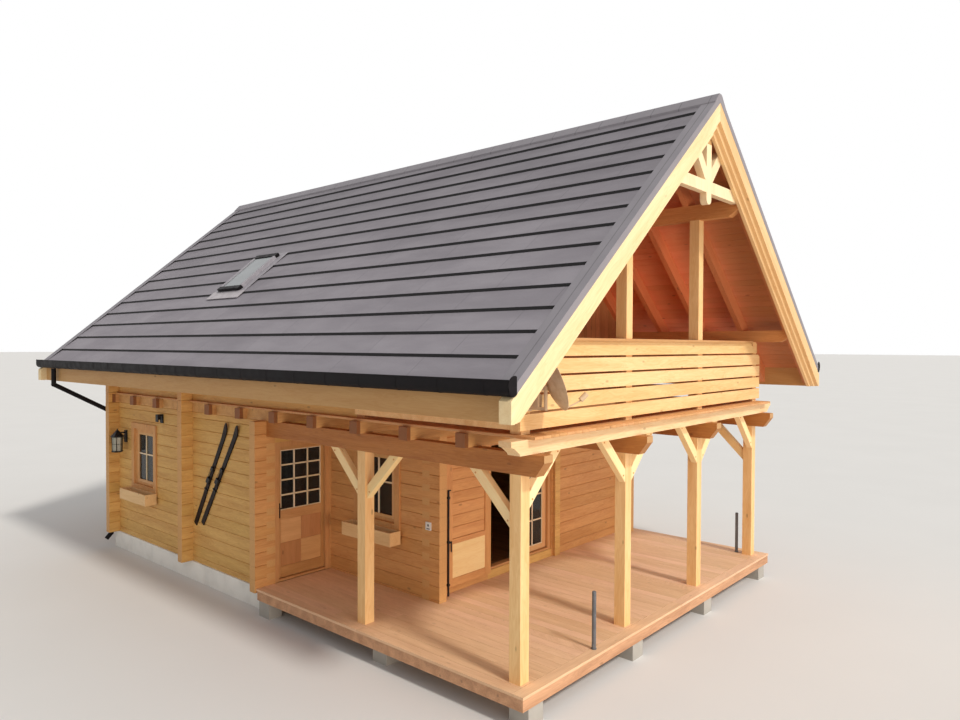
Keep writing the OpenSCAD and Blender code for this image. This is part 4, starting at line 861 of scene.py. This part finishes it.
def lamps():
    """Wall lantern with its cage, glass and candle tube, and the small lamp."""
    k, g = Maker(), Maker()
    y, z, x = HOUSE_L - 450, DECK_H + 1480, -165
    k.box((-24 - GAP, -GAP), (y - 50, y + 50), (z + 170, z + 390), (0, 0, 1))
    k.box((x, -20), (y - 11, y + 11), (z + 341, z + 364), (1, 0, 0))
    k.box((-60, -20), (y - 8, y + 8), (z + 240, z + 256), (1, 0, 0))
    cx = Vector((x, y, 0))
    up = lambda h: cx + Vector((0, 0, z + h))
    k.rod(up(0), up(12), 84, 6, 100)
    k.rod(up(12), up(24), 100, 6)
    k.rod(up(276), up(292), 112, 6)
    k.rod(up(292), up(352), 118, 6, 62)
    k.rod(up(352), up(400), 62, 6, 24)
    k.rod(up(400), up(430), 12, 12)
    for i in range(6):
        a = 2 * math.pi * i / 6
        e = Vector((math.cos(a), math.sin(a), 0))
        k.rod(up(20) + e * 90, up(280) + e * 98, 6, 8)
        f = Vector((math.cos(a + math.pi / 3), math.sin(a + math.pi / 3), 0))
        k.rod(up(150) + e * 94, up(150) + f * 94, 3.5, 6)
    k.rod(up(24), up(60), 26, 12)
    g.rod(up(26), up(274), 80, 6, 88)
    k.make("lantern_cage", "iron", "black_iron", replaces=["wall_lamps"], bevel=1.5)
    g.make("lantern_glass", "lamp_glass", "glazing", replaces=["wall_lamps"], bevel=0)
    s = Maker()
    y, z = HOUSE_L - 1900, DECK_H + 2110
    s.box((-20 - GAP, -GAP), (y - 50, y + 50), (z, z + 150), (0, 0, 1))
    s.box((-100, -19), (y - 45, y + 45), (z + 120, z + 150), (0, 1, 0))
    s.box((-100, -84), (y - 45, y + 45), (z + 24, z + 121), (0, 1, 0))
    s.rod((-50, y, z + 60), (-50, y, z + 121), 20, 16)
    s.make("small_lamp", "iron", "black_iron", replaces=["wall_lamps"], bevel=3, segments=2)


def skis():
    """A pair of old skis with turned-up tips and toe and heel bindings."""
    k, b = Maker(), Maker()
    for y, z, lean in ((CROSS_Y - 105, DECK_H + 560, 31), (CROSS_Y - 335, DECK_H + 600, 34)):
        a = math.radians(lean)
        up = Vector((0, -math.sin(a), math.cos(a)))
        side = Vector((0, math.cos(a), math.sin(a)))
        foot = Vector((0, y, z))
        at = lambda s, l, x: foot + side * s + up * l + Vector((x, 0, 0))
        prof = [(0, 44), (60, 47), (1000, 40), (1700, 46), (1840, 50), (1900, 46), (1945, 36), (1980, 20), (2000, 4)]
        pts, faces, bend = [], [], 1700
        for l, w in prof:
            lift = 0 if l < bend else -38 * ((l - bend) / 300) ** 2
            camber = -4 * math.sin(math.pi * min(l, bend) / bend)
            for s, x in ((-w, -18.3), (w, -18.3), (w, -4), (-w, -4)):
                pts.append(at(s, l, x + lift + camber if l < bend else x + lift))
        for i in range(len(prof) - 1):
            for j in range(4):
                faces.append([4 * i + j, 4 * i + (j + 1) % 4, 4 * i + 4 + (j + 1) % 4, 4 * i + 4 + j])
        faces += [[3, 2, 1, 0], [4 * len(prof) - 4 + j for j in range(4)]]
        k.add(pts, faces, up, 0.5)
        for l0, l1, w, h in ((840, 940, 40, 30), (1090, 1150, 32, 22), (700, 720, 46, 12)):
            b.prism([at(-w, l0, -22), at(w, l0, -22), at(w, l1, -22), at(-w, l1, -22)], (-h, 0, 0), up)
        b.rod(at(-34, 900, -40), at(-34, 1120, -34), 4, 8)
        b.rod(at(34, 900, -40), at(34, 1120, -34), 4, 8)
    k.make("ski_blades", "ski", "ski_lacquer", replaces=["skis"], bevel=2)
    b.make("ski_bindings", "iron", "ski_lacquer", replaces=["skis"], bevel=2)


def skylight():
    """Roof window: side flashings, apron, dark frame with hoods at both ends, and its pane."""
    flashing, hoods, sides, pane, apron = Maker(), Maker(), Maker(), Maker(), Maker()
    y0, y1, t0, t1 = 6080, 6740, 2580, 3560

    def slab(k, a, b, p, q, d0, d1, along):
        k.prism([on_slope(-1, a, d0, p), on_slope(-1, b, d0, p), on_slope(-1, b, d0, q), on_slope(-1, a, d0, q)],
                Vector(on_slope(-1, 0, d1, 0)) - Vector(on_slope(-1, 0, d0, 0)), along, 0.5)

    slab(flashing, t0 - 70, t1 + 10, y0 - 150, y0, 2, -8, (0, 1, 0))
    slab(flashing, t0 - 70, t1 + 10, y1, y1 + 150, 2, -8, (0, 1, 0))
    slab(flashing, t0 - 70, t0, y0, y1, 2, -8, (0, 1, 0))
    slab(apron, t1, t1 + 190, y0 - 150, y1 + 150, 3, -9, (0, 1, 0))
    for p, q in ((y0, y0 + 55), (y1 - 55, y1)):
        slab(sides, t0 + 90, t1 - 80, p, q, 0, -60, (0, 1, 0))
    for a, b in ((t0, t0 + 90), (t1 - 80, t1)):
        slab(hoods, a, b, y0, y1, 0, -60, (0, 1, 0))
    slab(pane, t0 + 88, t1 - 78, y0 + 53, y1 - 53, -38, -46, (0, 1, 0))
    flashing.make("skylight_flashing", "lead", "roof_tile", bevel=1)
    apron.make("skylight_apron", "apron", "roof_tile", bevel=1)
    hoods.make("skylight_hoods", "gutter", "roof_tile", replaces=["skylight"], bevel=4, segments=2)
    sides.make("skylight_sides", "lead", "roof_tile", replaces=["skylight"], bevel=4, segments=2)
    pane.make("skylight_pane", "roof_glass", "glazing", replaces=["skylight"], bevel=1)


soffit()
ridge_ends()
gutters()
log_ends()
thermometer()
deck()
upper_floor()
braces()
windows()
leaf("entrance_door_leaf", "entrance_leaf", "entrance_door", (1056, RECESS_D + 130, 0), "mirror",
     844, DECK_H + 38, DECK_H + 1030, 65, (3, 4), ("door", "cream"))
patio_z = PLINTH_H + LOG_H + 38.3
leaf("patio_leaf_left", "patio_left_leaf", "patio_door_left", (PATIO_X + 64, PORCH_D + 130, 0), "turn",
     726, patio_z, DECK_H + 240, 100, (2, 4), ("patio", "cream"))
leaf("patio_leaf_right", "patio_right_leaf", "patio_door_right", (PATIO_X + PATIO_W - 64, PORCH_D + 130, 0),
     "mirror", 726, patio_z, DECK_H + 240, 100, (2, 4), ("patio", "cream"))
shutter()
bollards()
lamps()
skis()
skylight()


# Floor, light and camera
def floor():
    """Plain pale ground that reaches past the picture."""
    mesh = bpy.data.meshes.new("floor")
    s = 400
    mesh.from_pydata([(-s, -s, 0), (s, -s, 0), (s, s, 0), (-s, s, 0)], [], [(0, 1, 2, 3)])
    n = Net("floor_plain")
    colour = n.mix(n.noise(n.coords("object"), 0.4), tone(228, 227, 225), tone(222, 221, 219))
    mesh.materials.append(n.finish(colour, 0.9))
    o = bpy.data.objects.new("floor", mesh)
    SCENE.collection.objects.link(o)


# Light of the world for rays that are not the camera's, a mirror's or a glass's: gain along a direction, and base
SKY_WAY, SKY_GAIN, SKY_BASE = (0.45, -0.893, 0.0), 0.50, 0.57
SUN_WAY, SUN_ENERGY = (-0.089, -0.711, 0.697), 1.8
FILL_AT, FILL_TO, FILL_ENERGY = (-6.0, -21.0, 1.2), (1.5, -3.0, 5.2), 800


def light():
    """White world with softer light on the house, one sun, and a low warm fill that leaves the floor out."""
    w = bpy.data.worlds.new("sky")
    SCENE.world = w
    w.use_nodes = True
    w.node_tree.nodes.clear()
    new, link = w.node_tree.nodes.new, w.node_tree.links.new
    out = new("ShaderNodeOutputWorld")
    back = new("ShaderNodeBackground")
    path = new("ShaderNodeLightPath")
    seen, clear = new("ShaderNodeMath"), new("ShaderNodeMath")
    seen.operation = clear.operation = "MAXIMUM"
    link(path.outputs["Is Camera Ray"], seen.inputs[0])
    link(path.outputs["Is Glossy Ray"], seen.inputs[1])
    link(seen.outputs[0], clear.inputs[0])
    link(path.outputs["Is Transmission Ray"], clear.inputs[1])
    way = new("ShaderNodeTexCoord")
    dot = new("ShaderNodeVectorMath")
    dot.operation = "DOT_PRODUCT"
    dot.inputs[1].default_value = SKY_WAY
    link(way.outputs["Generated"], dot.inputs[0])
    soft = new("ShaderNodeMath")
    soft.operation = "MULTIPLY_ADD"
    soft.inputs[1].default_value, soft.inputs[2].default_value = SKY_GAIN, SKY_BASE
    link(dot.outputs["Value"], soft.inputs[0])
    strength = new("ShaderNodeMapRange")
    link(soft.outputs[0], strength.inputs["To Min"])
    strength.inputs["To Max"].default_value = 1.0
    link(clear.outputs[0], strength.inputs["Value"])
    link(strength.outputs[0], back.inputs["Strength"])
    link(back.outputs[0], out.inputs[0])
    back.inputs["Color"].default_value = (1, 1, 1, 1)
    sun = bpy.data.lights.new("sun", "SUN")
    sun.energy, sun.angle, sun.color = SUN_ENERGY, math.radians(7), (1.0, 0.95, 0.88)
    o = bpy.data.objects.new("sun", sun)
    o.rotation_euler = Vector(SUN_WAY).to_track_quat("Z", "Y").to_euler()
    SCENE.collection.objects.link(o)
    low = bpy.data.lights.new("low_fill", "AREA")
    low.energy, low.color, low.shape, low.size, low.size_y = FILL_ENERGY, (1.0, 0.78, 0.60), "RECTANGLE", 7.0, 2.0
    o = bpy.data.objects.new("low_fill", low)
    o.location, o.visible_camera = FILL_AT, False
    o.rotation_euler = (o.location - Vector(FILL_TO)).to_track_quat("Z", "Y").to_euler()
    away = bpy.data.collections.new("not_lit_by_low_fill")
    away.objects.link(bpy.data.objects["floor"])
    away.collection_objects[0].light_linking.link_state = "EXCLUDE"
    o.light_linking.receiver_collection = away
    SCENE.collection.objects.link(o)


# Camera fitted to the photo: place in metres, lens on a 36 mm sensor, and yaw, pitch and roll in degrees
CAMERA_AT, LENS, TURN = (-8.911, -9.489, 3.8235), 27.146, (-48.693, -1.12, 0.195)


def camera():
    cam = bpy.data.cameras.new("camera")
    cam.sensor_fit, cam.sensor_width, cam.lens = "HORIZONTAL", 36.0, LENS
    cam.clip_end = 2000
    o = bpy.data.objects.new("camera", cam)
    yaw, pitch, roll = (math.radians(a) for a in TURN)
    f = Vector((-math.sin(yaw) * math.cos(pitch), math.cos(yaw) * math.cos(pitch), math.sin(pitch)))
    r = f.cross(Vector((0, 0, 1))).normalized()
    u = r.cross(f)
    r, u = r * math.cos(roll) + u * math.sin(roll), -r * math.sin(roll) + u * math.cos(roll)
    o.matrix_world = Matrix.Translation(CAMERA_AT) @ Matrix((r, u, -f)).transposed().to_4x4()
    SCENE.collection.objects.link(o)
    SCENE.camera = o


floor()
light()
camera()
SCENE.view_settings.view_transform = "Standard"
